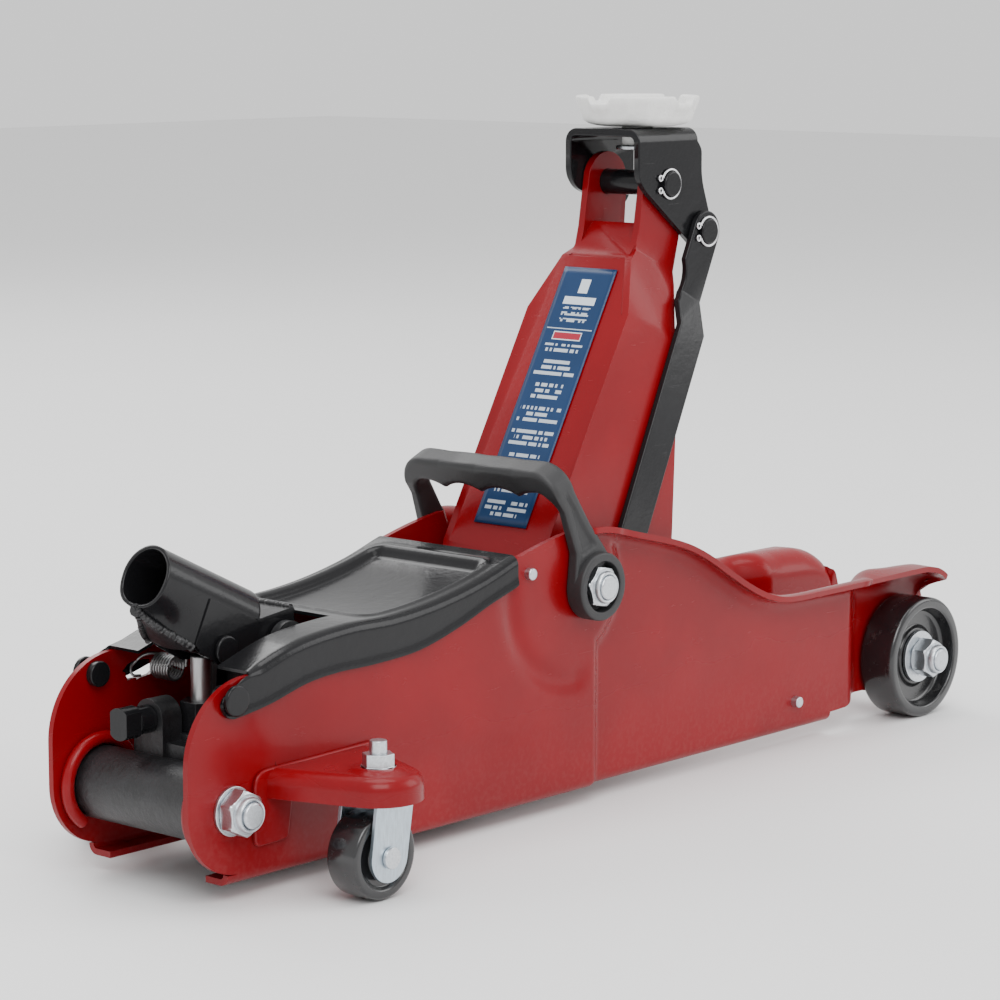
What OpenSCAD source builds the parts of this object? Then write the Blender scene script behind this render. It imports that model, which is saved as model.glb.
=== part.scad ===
// Hydraulic trolley jack, short chassis, arm fully raised.
// +X points to the lifting end, +Y to the left side, +Z up. The wheels stand on Z = 0 and the
// origin is under the middle of the jack. Outlines are drawn from the lift arm's main pivot.

/* [Chassis] */
// Sheet thickness of the side plates
plate_t = 3; // [2.5:0.5:4]
// Half width over the plates behind the main pivot
rear_half = 46; // [45:0.5:50]
// Half width over the plates ahead of the main pivot
mid_half = 42; // [41.5:0.5:45]
// Half width over the plates between the front wheels
nose_half = 30.5; // [30:0.1:30.7]
// Distance from the main pivot back to the plates' rear edge
rear_reach = 270.5; // [262:0.5:300]
// Ground clearance under the turned-in hem
hem_z = 8; // [6:0.5:12]
// Height of the plates' crest at the main pivot
crest_z = 141; // [138:1:150]
// Outward reach of the top flange from the middle
flange_half = 53; // [50:0.5:56]

/* [Lift arm] */
// Height of the main pivot
pivot_z = 112; // [108:1:120]
// Main pivot to saddle pin
arm_len = 212.6; // [200:1:216]
// Angle of the raised arm above the ground
raised_deg = 65; // [60:1:66]
// Half width over the arm's cheeks
arm_half = 33.5; // [32:0.5:34]
// Half width over the cheeks at the saddle pin
arm_top_half = 20.2; // [19:0.1:20.3]
// Diameter of the main pivot shaft
shaft_d = 16; // [14:1:18]
// Crank radius from the main pivot to the ram roller
crank_r = 50; // [46:1:52]

/* [Saddle] */
// Saddle rim diameter
saddle_d = 64; // [50:1:66]
// Saddle height from bracket to rim
saddle_h = 16; // [12:1:20]
// Half width over the saddle bracket
bracket_half = 24.5; // [24.5:0.1:25]
// Height of the bracket's top above the saddle pin
bracket_rise = 28; // [26:0.5:32]

/* [Wheels] */
// Front wheel diameter
wheel_d = 67.4; // [60:0.2:68]
// Front wheel width
wheel_w = 22.5; // [20:0.5:22.5]
// Distance from the main pivot to the front axle
axle_x = 286.5; // [286:0.5:300]
// Castor wheel diameter
castor_d = 41; // [38:0.5:41.5]
// Castor wheel width
castor_w = 18; // [14:0.5:18]
// Castor swivel axis, distance out from the middle
castor_y = 85; // [84:0.5:95]

/* [Power unit] */
// Diameter of the trunnion tube
trunnion_d = 34; // [28:0.5:36]
// Diameter of the reservoir
reservoir_d = 54; // [50:0.5:54]
// Diameter of the ram
ram_d = 26; // [22:0.5:28]
// Diameter of the pump plunger
plunger_d = 10; // [8:0.5:12]
// Bore of the pump handle socket
socket_bore_d = 27; // [22:0.5:27]
// Wall of the pump handle socket
socket_wall = 2; // [1.5:0.25:2.5]

/* [Carry handle] */
// Distance from the main pivot to the middle of the grip
grip_reach = 58.7; // [56:0.1:70]
// Width of the carry handle's bosses across the jack
boss_w = 10.3; // [9:0.1:14]

/* [Hidden] */
$fn = 64;

// Colours of the finished parts
red = "firebrick";
black = "#26282b";
steel = "silver";
zinc = "#b9c3cc";

// Clearances
run_gap = 0.05;
loose_gap = 0.3;
side_gap = 0.4;

// Whole jack: the plates' rear edge and the front wheels' front set the middle in X
pivot_x = (rear_reach - axle_x - wheel_d / 2) / 2;
wheel_r = wheel_d / 2;
wheel_in = nose_half + 0.8;
wheel_out = wheel_in + wheel_w;
hub_out = wheel_out - 6.5;
hub_r = 14;
rim_r = wheel_r - 6.7;
rim_step = 4;
tread_round = 3;
castor_r = castor_d / 2;
nose_inner = nose_half - plate_t;
mid_inner = mid_half - plate_t;
rear_inner = rear_half - plate_t;
tail_x = -rear_reach;
skirt_in = rear_half + side_gap;
skirt_out = skirt_in + 2;
hem_rise = 6;
hem_front = 28;
trunnion_x = tail_x + 26.3;
trunnion_z = 42.4;
joggle_x0 = axle_x - wheel_r - 14.8;
joggle_x1 = axle_x - wheel_r - 0.8;
step_x = 8;
hem_in = arm_half - 2;
hem_end = joggle_x0 - 8;
flange_x = 1;
slot_z = 90.5;
flange_z = 85;
tip_x = axle_x + 23.5;

// Lift arm: saddle pin, crank and parallel link
up = [cos(raised_deg), sin(raised_deg)];
pin_x = arm_len * up[0];
pin_z = pivot_z + arm_len * up[1];
pin_d = 13;
cheek_t = 4;
web_t = 4;
swing_deg = 84;
crank_deg = swing_deg / 2;
crank_x = crank_r * sin(crank_deg);
crank_z = pivot_z - crank_r * cos(crank_deg);
roller_d = 18;
roller_pin_r = 6;
roller_half = 12;
link_dx = 27;
link_dz = -25.3;
link_x = pin_x + link_dx;
link_z = pin_z + link_dz;
anchor_x = link_dx;
anchor_z = pivot_z + link_dz;
link_t = 3.4;
link_in = bracket_half + side_gap;
link_out = arm_half + side_gap;
link_half_w = 10.5;
ear_r = 10;
bracket_t = 3.8;
bracket_top = pin_z + bracket_rise;
saddle_x = pin_x + 4;
saddle_base = bracket_top + 1;
spigot_r = 8;
saddle_top = bracket_top + saddle_h + 0.3;

// Power unit
unit_z = 68;
ram_travel = 2 * crank_x;
ram_setback = 1.6;
ram_face_x = crank_x - roller_d / 2 - ram_setback;
gland_x = ram_face_x - ram_travel - 10;
cylinder_x = gland_x - 106;
pump_x = trunnion_x + 26.2;
ear_x = trunnion_x + 62.5;
ear_z = 106;
socket_pin_z = 107.5;
socket_pin_r = 4.5;
socket_deg = 26;
mouth = [trunnion_x - 7.3, 143.6];
socket_r = socket_bore_d / 2 + socket_wall;
socket_half = socket_r + 0.5;
cheek_w = 3;
ear_pin_r = 6;
barrel_r = 8;
barrel_z = 50.6;
plug_x = cylinder_x + 40;
valve_r = 4;
valve_y = 11;
valve_z = 75.5;

// Castors
swivel_x = trunnion_x + 53.2;
castor_trail = 5;
shelf_top = 58;
shelf_t = 2.5;
shelf_r = 20.5;
fork_gap = 0.7;
fork_t = 2;
fork_w = 23;
fork_half = castor_w / 2 + fork_gap + fork_t;
castor_pin_r = 4;

// Fasteners: M12 and M8 hexagons
m12_flats = 19;
m8_flats = 13;
m12_r = 6;
m8_r = 4;
nut_h = 10;
sleeve_r = 8;
rod_r = 3;
cover_stud_r = 3.5;

// ---------- helpers ----------
// Everything is drawn from the main pivot and moved once to the jack's own origin.
module place() translate([pivot_x, 0, 0]) children();

// Prism of an X-Z outline from y0 to y1.
module across(y0, y1) translate([0, max(y0, y1), 0]) rotate([90, 0, 0])
    linear_extrude(abs(y1 - y0)) children();

// Round bar along Y at (x, z).
module bar_y(r, y0, y1, x, z) translate([x, min(y0, y1), z]) rotate([-90, 0, 0])
    cylinder(r = r, h = abs(y1 - y0));

// Round bar along X at (y, z).
module bar_x(r, x0, x1, y, z) translate([x0, y, z]) rotate([0, 90, 0])
    cylinder(r = r, h = x1 - x0);

// Hexagon prism along Y.
module hex_y(flats, y0, y1, x, z, turn = 0) translate([x, min(y0, y1), z]) rotate([-90, turn, 0])
    cylinder(r = flats / sqrt(3), h = abs(y1 - y0), $fn = 6);

// Draws its children on one side; side is +1 for left and -1 for right.
module on_side(side) mirror([0, side < 0 ? 1 : 0, 0]) children();

function arc(c, r, a0, a1, n = 8) =
    [for (i = [0:n]) let (a = a0 + (a1 - a0) * i / n) [c[0] + r * cos(a), c[1] + r * sin(a)]];

// Smooth curve through hand-set points (Catmull-Rom), n steps between points.
function spline(p, n = 4) = let (last = len(p) - 1) concat([for (i = [0:last - 1], k = [0:n - 1])
    let (t = k / n, a = p[max(i - 1, 0)], b = p[i], c = p[i + 1], d = p[min(i + 2, last)])
    0.5 * ((2 * b) + (c - a) * t + (2 * a - 5 * b + 4 * c - d) * t * t
    + (3 * b - a - 3 * c + d) * t * t * t)], [p[last]]);

function lift(p, dz) = [for (q = p) [q[0], q[1] + dz]];
function turned(p) = [for (i = [len(p) - 1:-1:0]) p[i]];
function band(p, t) = concat(p, turned(lift(p, -t)));

// ---------- side plates ----------
stud_x = tail_x + 26.5;
stud_z = 92.5;
rod_x = -44;
rod_z = 123;
stub_x = 179;
stub_z = 24;
tail_curve = [[tail_x + 37.5, 101.6], [-203, 110.5], [-170, 114], [-140, 114], [-110, 117],
    [-80, 123], [-54, 131]];
crest_curve = [[-54, 131], [-24, crest_z - 3], [4, crest_z], [32, 135], [65, 126.5], [86, 118],
    [107, 106], [126, 95.5], [143, 88.5], [162, flange_z]];
nose_curve = [[162, flange_z], [axle_x - 12, flange_z], [axle_x + 5, flange_z - 0.6],
    [tip_x - 8, flange_z - 4], [tip_x, flange_z - 11]];

function tail_top() = spline(tail_curve);
function crest_top() = spline(crest_curve);
function nose_top() = spline(nose_curve);

module plate_outline() polygon(concat(
    arc([tail_x + 29.5, 43.5], 29.5, 180, 270),
    [[tail_x + 32, hem_z + 3], [joggle_x1 - 6, hem_z + 4], [axle_x - 20, hem_z + 8]],
    arc([axle_x + 2, 36], 27, 280, 360),
    [[axle_x + 29, 60], [axle_x + 18, flange_z - 2]],
    turned(nose_top_wall()), turned(crest_top()), turned(tail_top()),
    arc([tail_x + 37.5, 64.1], 37.5, 90, 180)));

function nose_top_wall() = [[162, flange_z], [axle_x + 12, flange_z]];

// Plan of the sheet: wide behind the pivot, stepped in ahead of it, joggled in at the wheels.
module plate_plan() polygon([[tail_x - 1, rear_inner], [step_x, rear_inner],
    [step_x + 5, mid_inner], [joggle_x0, mid_inner], [joggle_x1, nose_inner],
    [tip_x + 20, nose_inner], [tip_x + 20, nose_half], [joggle_x1 + 1, nose_half],
    [joggle_x0 + 1, mid_half], [step_x + 6, mid_half], [step_x + 1, rear_half],
    [tail_x - 1, rear_half]]);

module plate() difference() {
    union() {
        intersection() {
            linear_extrude(160) plate_plan();
            across(20, 60) plate_outline();
        }
        intersection() {
            across(mid_inner, flange_half) polygon(band(crest_top(), 3.5));
            translate([flange_x, 0, 0]) cube([200, 60, 160]);
        }
        across(mid_inner, flange_half) polygon(band([[160, flange_z], [joggle_x0 + 4, flange_z]], 3));
        intersection() {
            across(nose_inner, flange_half) polygon(band(nose_top(), 3));
            translate([joggle_x0, 0, 0]) cube([100, 60, 160]);
        }
        translate([tail_x + hem_front, hem_in, hem_z])
            cube([step_x - tail_x - hem_front, rear_half - hem_in, plate_t]);
        translate([step_x, hem_in, hem_z]) cube([hem_end - step_x, mid_half - hem_in, plate_t]);
        translate([tail_x + hem_front, rear_inner, hem_z])
            cube([step_x - tail_x - hem_front, plate_t, hem_rise]);
        translate([step_x, mid_inner, hem_z]) cube([hem_end - step_x, plate_t, hem_rise]);
    }
    bar_y(m12_r + 0.2, 20, 60, trunnion_x, trunnion_z);
    bar_y(shaft_d / 2 + run_gap, 20, 60, 0, pivot_z);
    bar_y(m12_r + 0.2, 20, 60, axle_x, wheel_r);
    bar_y(rod_r + run_gap, 20, 60, rod_x, rod_z);
    bar_y(rod_r + run_gap, 20, 60, stub_x, stub_z);
    bar_y(cover_stud_r + run_gap, 20, 60, stud_x, stud_z);
    hull() for (dx = [-5, 5]) bar_y(4, 20, 60, pump_x + 1 + dx, slot_z);
}

module side_plate_left() color(red) place() plate();
module side_plate_right() color(red) place() on_side(-1) plate();

// Open ring bent from round bar, welded inside the plate round the trunnion tube.
module trunnion_ring() translate([trunnion_x, rear_inner - 3.2, trunnion_z]) rotate([-90, 90, 0])
    rotate_extrude(angle = 290, start = 35) translate([trunnion_d / 2 + 3.6, 0]) circle(r = 3.1);

module trunnion_ring_left() color(red) place() trunnion_ring();
module trunnion_ring_right() color(red) place() on_side(-1) trunnion_ring();

// ---------- castor brackets ----------
// Outline of the shelf: straight along the plate, round over the castor.
module shelf_shape(r) hull() {
    translate([swivel_x, castor_y]) circle(r = r, $fn = 32);
    translate([swivel_x - r - 14, rear_half + 2]) square([2 * r + 31, 2]);
}

module castor_bracket() difference() {
    union() {
        intersection() {
            translate([0, 0, shelf_top - shelf_t]) linear_extrude(shelf_t) shelf_shape(shelf_r);
            translate([-300, rear_half, 0]) cube([300, 100, 100]);
        }
        difference() {
            translate([0, 0, 44]) linear_extrude(shelf_top - 44 - 1) shelf_shape(shelf_r);
            translate([0, 0, 40]) linear_extrude(30) shelf_shape(shelf_r - shelf_t);
            translate([-300, 0, 0]) cube([300, rear_half, 100]);
        }
        across(rear_half, rear_half + shelf_t) polygon(concat(
            [[swivel_x - 41, 30]], arc([swivel_x - 32, shelf_top - 9], 9, 180, 90),
            [[swivel_x + 38, shelf_top + 1.5], [swivel_x + 40, 44], [swivel_x - 18, 44],
            [swivel_x - 20, 24], [swivel_x - 36, 23.5]]));
    }
    translate([swivel_x, castor_y, 0]) cylinder(r = m8_r + run_gap, h = 100);
}

module castor_bracket_left() color(red) place() castor_bracket();
module castor_bracket_right() color(red) place() on_side(-1) castor_bracket();

// ---------- power unit ----------
module power_unit_block() color(black) place() difference() {
    union() {
        bar_y(trunnion_d / 2, 0.2 - rear_inner, rear_inner - 0.2, trunnion_x, trunnion_z);
        translate([trunnion_x + 6, -24, 29]) cube([cylinder_x - trunnion_x - 6, 48, 36]);
        bar_x(29, cylinder_x - 26, cylinder_x, 0, unit_z);
        translate([trunnion_x + 3.5, valve_y - 9, 50]) cube([12, 18, valve_z - 50]);
        bar_x(9, trunnion_x + 3.5, trunnion_x + 15.5, valve_y, valve_z);
        translate([pump_x, 0, 50]) cylinder(r = 12, h = 18);
        for (s = [-1, 1]) hull() {
            bar_y(10, s * (socket_half + 0.8), s * (socket_half + 5), ear_x, ear_z);
            translate([ear_x - 12, min(s * (socket_half + 0.8), s * (socket_half + 5)), 60])
                cube([26, 4.2, 4]);
        }
    }
    for (s = [-1, 1]) bar_y(m12_r + run_gap, s * (rear_inner - 24), s * rear_half, trunnion_x,
        trunnion_z);
    bar_y(ear_pin_r + run_gap, -40, 40, ear_x, ear_z);
    translate([pump_x, 0, barrel_z - 0.1]) cylinder(r = barrel_r + run_gap, h = 40);
    bar_x(valve_r + run_gap, trunnion_x - 2, trunnion_x + 13, valve_y, valve_z);
    bar_x(25, cylinder_x - 6, cylinder_x + 1, 0, unit_z);
}

module reservoir_tube() color(black) place() difference() {
    bar_x(reservoir_d / 2, cylinder_x, gland_x - 6, 0, unit_z);
    bar_x(reservoir_d / 2 - 2, cylinder_x - 1, gland_x, 0, unit_z);
    translate([plug_x, 0, unit_z]) cylinder(r = 5 + run_gap, h = 60);
}

module ram_cylinder() color(steel) place() difference() {
    bar_x(ram_d / 2 + 5, cylinder_x - 5.9, gland_x - 4, 0, unit_z);
    bar_x(ram_d / 2 + 1, cylinder_x - 2, gland_x, 0, unit_z);
}

module end_gland() color(black) place() difference() {
    union() {
        bar_x(reservoir_d / 2 - 2.1, gland_x - 12, gland_x - 6, 0, unit_z);
        bar_x(reservoir_d / 2, gland_x - 6, gland_x, 0, unit_z);
    }
    bar_x(ram_d / 2 + run_gap, gland_x - 13, gland_x + 1, 0, unit_z);
    bar_x(ram_d / 2 + 5.05, gland_x - 13, gland_x - 3.9, 0, unit_z);
}

// Pump barrel: screwed into the block, hexagon on top, bored for the plunger.
module pump_barrel() color(black) place() translate([pump_x, 0, 0]) difference() {
    union() {
        translate([0, 0, barrel_z]) cylinder(r = barrel_r, h = 18);
        translate([0, 0, 68.1]) rotate([0, 0, 30]) cylinder(r = 18 / sqrt(3), h = 14, $fn = 6);
    }
    translate([0, 0, 54]) cylinder(r = plunger_d / 2 + run_gap, h = 40);
}

module filler_plug() color(black) place() translate([plug_x, 0, unit_z]) {
    translate([0, 0, reservoir_d / 2 - 4]) cylinder(r = 5, h = 4.4);
    translate([0, 0, reservoir_d / 2 + 0.1]) cylinder(r = 7, h = 3);
}

// ---------- fasteners and shafts ----------
module trunnion_studs() color(steel) place() for (s = [-1, 1])
    bar_y(m12_r, s * (rear_inner - 20), s * (rear_half + 15), trunnion_x, trunnion_z);

module nut_y(s, y, h, x, z, turn = 0) difference() {
    hex_y(m12_flats, s * y, s * (y + h), x, z, turn);
    bar_y(m12_r + run_gap, s * (y - 1), s * (y + h + 1), x, z);
}

module hex_nuts() color(steel) place() for (s = [-1, 1]) {
    nut_y(s, rear_half + 1.9, 11.5, trunnion_x, trunnion_z, 12);
    nut_y(s, rear_half + 4.1, nut_h, 0, pivot_z, 25);
    nut_y(s, wheel_out - 4, 13.5, axle_x, wheel_r, 8);
}

module washers() color(steel) place() for (s = [-1, 1]) {
    difference() {
        bar_y(11.3, s * rear_half, s * (rear_half + 1.8), trunnion_x, trunnion_z);
        bar_y(m12_r + run_gap, s * rear_half - 5, s * rear_half + 5, trunnion_x, trunnion_z);
    }
    difference() {
        bar_y(14.5, s * (hub_out + 0.3), s * (hub_out + 2.4), axle_x, wheel_r);
        bar_y(m12_r + run_gap, s * hub_out - 9, s * hub_out + 9, axle_x, wheel_r);
    }
}

module main_shaft() color(steel) place() {
    bar_y(shaft_d / 2, -rear_half - 4, rear_half + 4, 0, pivot_z);
    for (s = [-1, 1]) bar_y(m12_r, s * (rear_half + 3), s * (rear_half + 15), 0, pivot_z);
}

module front_axle() color(steel) place()
    bar_y(m12_r, -wheel_out - 10.5, wheel_out + 10.5, axle_x, wheel_r);

module axle_sleeves() color(steel) place() for (s = [-1, 1]) difference() {
    bar_y(sleeve_r, s * nose_half, s * (hub_out + 0.2), axle_x, wheel_r);
    bar_y(m12_r + run_gap, s * nose_half - 25, s * nose_half + 25, axle_x, wheel_r);
}

module cross_rod() color(steel) place()
    bar_y(rod_r, -rear_half - 3.5, rear_half + 3.5, rod_x, rod_z);

module stub_pins() color(steel) place() for (s = [-1, 1])
    bar_y(rod_r, s * (mid_inner - 0.6), s * (mid_half + 4), stub_x, stub_z);

// ---------- cover ----------
cover_t = 1.6;
cover_lift = 1.8;
cover_front = -53.5;
cutout_half = socket_half + 10;
cover_curve = [[tail_x + 37.5, 101.8], [-203, 110.7], [-170, 114.2], [-140, 114.2], [-110, 117.2],
    [-80, 123.2], [cover_front, 131.4]];
skirt_curve = [[stud_x + 3, 84.6], [tail_x + 50, 88.5], [-199, 93.3], [-178, 95.3], [-152, 95.3],
    [-124, 97.5], [-98, 104], [-75, 112], [-57, 117.5]];

module cover() color(black) place() difference() {
    across(-skirt_out, skirt_out) polygon(concat(lift(spline(cover_curve), cover_lift),
        [[cover_front, 120]], turned(spline(skirt_curve)),
        arc([stud_x, stud_z - 1.5], 6.8, 270, 150, 5)));
    across(-skirt_in, skirt_in) polygon(concat([[tail_x, 60], [tail_x, 120], [tail_x + 37.5, 120]],
        lift(spline(cover_curve), cover_lift - cover_t),
        [[cover_front + 10, 131.4 + cover_lift], [cover_front + 10, 60]]));
    translate([tail_x + 20, -cutout_half, 80]) cube([ear_x - tail_x + 0.7, 2 * cutout_half, 60]);
    for (s = [-1, 1]) bar_y(cover_stud_r + run_gap, s * 40, s * 60, stud_x, stud_z);
}

module cover_studs() color(black) place() for (s = [-1, 1]) {
    bar_y(cover_stud_r, s * (rear_inner - 2), s * (skirt_out + 0.2), stud_x, stud_z);
    bar_y(7, s * (skirt_out + 0.1), s * (skirt_out + 2.6), stud_x, stud_z);
    bar_y(6, s * (rear_inner - 4), s * (rear_inner - 0.1), stud_x, stud_z);
}

// ---------- handle socket ----------
function along(d) = [mouth[0] + d * cos(socket_deg), mouth[1] - d * sin(socket_deg)];

heel = mouth + [-6, -12];
chin = [ear_x + 7.7, ear_z + 15];

module socket_cheeks() polygon([heel, heel + [10.5, -12.5], heel + [25.5, -24.5],
    [pump_x, socket_pin_z - 8.5], [pump_x + 18, socket_pin_z - 10], [ear_x + 1.7, ear_z - 9.5],
    [ear_x + 9.7, ear_z - 8], [ear_x + 11, ear_z], chin, along(62), along(8)]);

module handle_socket() color(black) place() difference() {
    union() {
        translate([mouth[0], 0, mouth[1]]) rotate([0, 90 + socket_deg, 0])
            cylinder(r = socket_r, h = 62);
        for (s = [-1, 1]) across(s * (socket_half - cheek_w), s * socket_half) socket_cheeks();
        across(-socket_half, socket_half) polygon([heel, heel + [10.5, -12.5], heel + [14, -10.5],
            heel + [4.5, 2.5]]);
        across(-socket_half, socket_half) polygon([chin, along(60), along(64), chin + [3, -1]]);
    }
    translate([mouth[0], 0, mouth[1]]) rotate([0, 90 + socket_deg, 0]) translate([0, 0, -1])
        cylinder(r = socket_bore_d / 2, h = 59);
    bar_y(ear_pin_r + run_gap, -40, 40, ear_x, ear_z);
    bar_y(socket_pin_r, -40, 40, pump_x - 0.6, socket_pin_z);
    translate([along(12)[0], 0, along(12)[1]]) rotate([0, socket_deg, 0])
        cylinder(r = 2.5, h = 30);
}

module socket_pin() color(black) place() {
    bar_y(socket_pin_r - 0.02, -socket_half - 0.1, socket_half + 0.1, pump_x - 0.6, socket_pin_z);
    for (s = [-1, 1]) bar_y(6.5, s * (socket_half + 0.1), s * (socket_half + 2.5), pump_x - 0.6,
        socket_pin_z);
}

module socket_pivot_pin() color(black) place() {
    bar_y(ear_pin_r, -socket_half - 5.2, socket_half + 5.2, ear_x, ear_z);
    for (s = [-1, 1]) bar_y(8, s * (socket_half + 5.1), s * (socket_half + 7.5), ear_x, ear_z);
}

module pump_plunger() color(steel) place() translate([pump_x, 0, 70])
    cylinder(r = plunger_d / 2, h = socket_pin_z - socket_pin_r - 0.2 - 70);

module release_valve() color(black) place() {
    bar_x(valve_r, trunnion_x + 1, trunnion_x + 12, valve_y, valve_z);
    bar_x(6.5, trunnion_x - 6, trunnion_x + 3.2, valve_y, valve_z);
    intersection() {
        bar_x(7.5, trunnion_x - 15, trunnion_x - 6, valve_y, valve_z);
        translate([trunnion_x - 20, valve_y - 5.5, valve_z - 10]) cube([20, 11, 20]);
    }
}

spring_x = pump_x + 5;
spring_z = 93;
spring_r = 6.5;
spring_in = socket_half + 4;
spring_out = 34;

// Return spring of the pump socket: close coil between its two hook rings.
module return_spring() color(steel) place() {
    difference() {
        bar_y(spring_r, spring_in, spring_out, spring_x, spring_z);
        bar_y(spring_r - 1.5, spring_in - 1, spring_out + 1, spring_x, spring_z);
    }
    for (y = [spring_in - 0.7, spring_out + 0.7])
        bar_y(spring_r, y - 0.8, y + 0.8, spring_x, spring_z);
}

// ---------- lift arm ----------
// Rear face of the web: it leans 4.6 degrees more than the arm and narrows towards the pin.
web_deg = raised_deg - 4.6;
web_start = [-12.6, pivot_z + 25.8];
function on_web(z) = [(z - web_start[1]) / tan(web_deg) + web_start[0], z];

web_foot = on_web(pivot_z + 12);
web_head = on_web(pin_z - 36.7);

module arm_outline() polygon(concat(
    arc([pin_x, pin_z], 15.5, 160, -10, 12),
    [[pin_x + 13.5, pin_z - 28], [pin_x + 7, pin_z - 52], [pin_x - 2, pin_z - 73],
    [pin_x - 5, pivot_z + 69], [83, pivot_z + 14]],
    arc([68, pivot_z - 4], 15, 20, -50, 5), arc([crank_x, crank_z], 15, -40, -130, 6),
    arc([0, pivot_z], 21, 225, 170, 5),
    [on_web(pivot_z + 16), on_web(pin_z - 63), on_web(pin_z - 36.7)],
    [[pin_x - 22, pin_z - 33], [pin_x - 19, pin_z - 22]]));

// Cross-section of one cheek along the arm: wide at the pivot, narrow at the saddle pin.
shoulder_z = arm_len - 75.6;
neck_z = arm_len - 37.6;

module cheek_plan() polygon([[-120, arm_half], [shoulder_z, arm_half], [neck_z, arm_top_half],
    [arm_len + 30, arm_top_half], [arm_len + 30, arm_top_half - cheek_t],
    [neck_z - 1, arm_top_half - cheek_t], [shoulder_z - 1, arm_half - cheek_t],
    [-120, arm_half - cheek_t]]);

module along_arm() translate([0, 0, pivot_z]) rotate([0, -raised_deg, 0]) children();

module web_plan() polygon([[-20, -24], [-5, -arm_half + 1], [shoulder_z, -arm_half + 1],
    [neck_z - 4, -arm_top_half], [neck_z - 4, arm_top_half], [shoulder_z, arm_half - 1],
    [-5, arm_half - 1], [-20, 24]]);

module lift_arm() color(red) place() difference() {
    union() {
        intersection() {
            across(-60, 60) arm_outline();
            for (s = [-1, 1]) on_side(s) along_arm() translate([0, 0, -130])
                linear_extrude(260) cheek_plan();
        }
        intersection() {
            across(-60, 60) polygon([web_foot, web_head, web_head + [web_t, -1],
                web_foot + [1.2 * web_t, -1]]);
            along_arm() translate([0, 0, -130]) linear_extrude(260) web_plan();
        }
        across(-arm_top_half + 1, arm_top_half - 1) polygon([web_head - [1.6, 4], web_head + [1.4, 0],
            [pin_x - 12, pin_z - 19.7], [pin_x - 9, pin_z - 22.7]]);
        across(-arm_top_half + 1, arm_top_half - 1) polygon([[pin_x + 12.8, pin_z - 27],
            [pin_x + 6.6, pin_z - 52], [pin_x + 3.6, pin_z - 51], [pin_x + 9.8, pin_z - 26]]);
        bar_y(13, -arm_half, arm_half, 0, pivot_z);
    }
    bar_y(shaft_d / 2 + run_gap, -60, 60, 0, pivot_z);
    bar_y(pin_d / 2 + 0.02, -60, 60, pin_x, pin_z);
    bar_y(roller_pin_r, -60, 60, crank_x, crank_z);
}

module ram_roller() color(steel) place() {
    bar_y(roller_pin_r - 0.02, -arm_half + 0.3, arm_half - 0.3, crank_x, crank_z);
    bar_y(roller_d / 2, -roller_half, roller_half, crank_x, crank_z);
}

panel_foot = on_web(pivot_z + 26);
panel_head = on_web(pin_z - 42.7);

module arm_pin() color(black) place()
    bar_y(pin_d / 2, -bracket_half - 3, bracket_half + 3, pin_x, pin_z);

module clip(s, y, x, z) difference() {
    bar_y(pin_d / 2 + 2, s * y, s * (y + 1.1), x, z);
    bar_y(pin_d / 2 + 0.02, s * (y - 1), s * (y + 3), x, z);
}

module pin_clips() color(steel) place() for (s = [-1, 1]) clip(s, bracket_half + 0.5, pin_x, pin_z);

module instruction_panel() color("midnightblue") place() across(-17.5, 17.5) polygon([
    panel_foot, panel_head, panel_head + [-0.5, 0.3], panel_foot + [-0.5, 0.3]]);

// ---------- saddle bracket, link and saddle ----------
module bracket_side(ear) polygon(concat(
    [[pin_x - 24.5, bracket_top], [pin_x + 21, bracket_top]],
    arc([pin_x + 21, bracket_top - 6], 6, 90, 0, 4), [[pin_x + 27, pin_z + 2]],
    ear ? concat([[link_x + 7, link_z + 8]], arc([link_x, link_z], ear_r, 30, -130, 8))
        : arc([pin_x + 12, pin_z - 2], 13, -10, -90, 4),
    [[pin_x - 19, pin_z - 3], [pin_x - 24.5, pin_z + 4]]));

module saddle_bracket() color(black) place() difference() {
    union() {
        across(-bracket_half, -bracket_half + bracket_t) bracket_side(true);
        across(bracket_half - bracket_t, bracket_half) bracket_side(false);
        translate([pin_x - 24.5, -bracket_half, bracket_top - bracket_t])
            cube([48, 2 * bracket_half, bracket_t]);
    }
    bar_y(pin_d / 2 + run_gap, -60, 60, pin_x, pin_z);
    bar_y(pin_d / 2 + 0.02, -60, 0, link_x, link_z);
    translate([saddle_x, 0, bracket_top - 20]) cylinder(r = spigot_r + run_gap, h = 40);
}

module link_pin() color(black) place()
    bar_y(pin_d / 2, -bracket_half + bracket_t, -link_in - link_t - 2.2, link_x, link_z);

module link_clip() color(steel) place() clip(-1, link_in + link_t + 0.3, link_x, link_z);

module saddle() color("gainsboro") place() translate([saddle_x, 0, 0]) difference() {
    rotate_extrude() polygon([[0, saddle_base - 10], [spigot_r, saddle_base - 10],
        [spigot_r, saddle_base],
        [20, saddle_base], [22, saddle_base + 0.8], [saddle_d / 2 - 5, saddle_base + 1.5],
        [saddle_d / 2 - 2, saddle_base + 5], [saddle_d / 2, saddle_top], [saddle_d / 2 - 4.5, saddle_top],
        [saddle_d / 2 - 6, saddle_base + 8], [0, saddle_base + 8]]);
    for (a = [0:90:270]) rotate([0, 0, a]) translate([saddle_d / 2 - 8, -4.5, saddle_top - 3])
        cube([12, 9, 6]);
    translate([0, 0, saddle_base - 11]) cylinder(r = 4, h = 8);
}

module saddle_screw() color(steel) place() translate([saddle_x, 0, saddle_base - 12.2]) {
    cylinder(r = 11, h = 2);
    cylinder(r = 3.9, h = 8);
}

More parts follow.
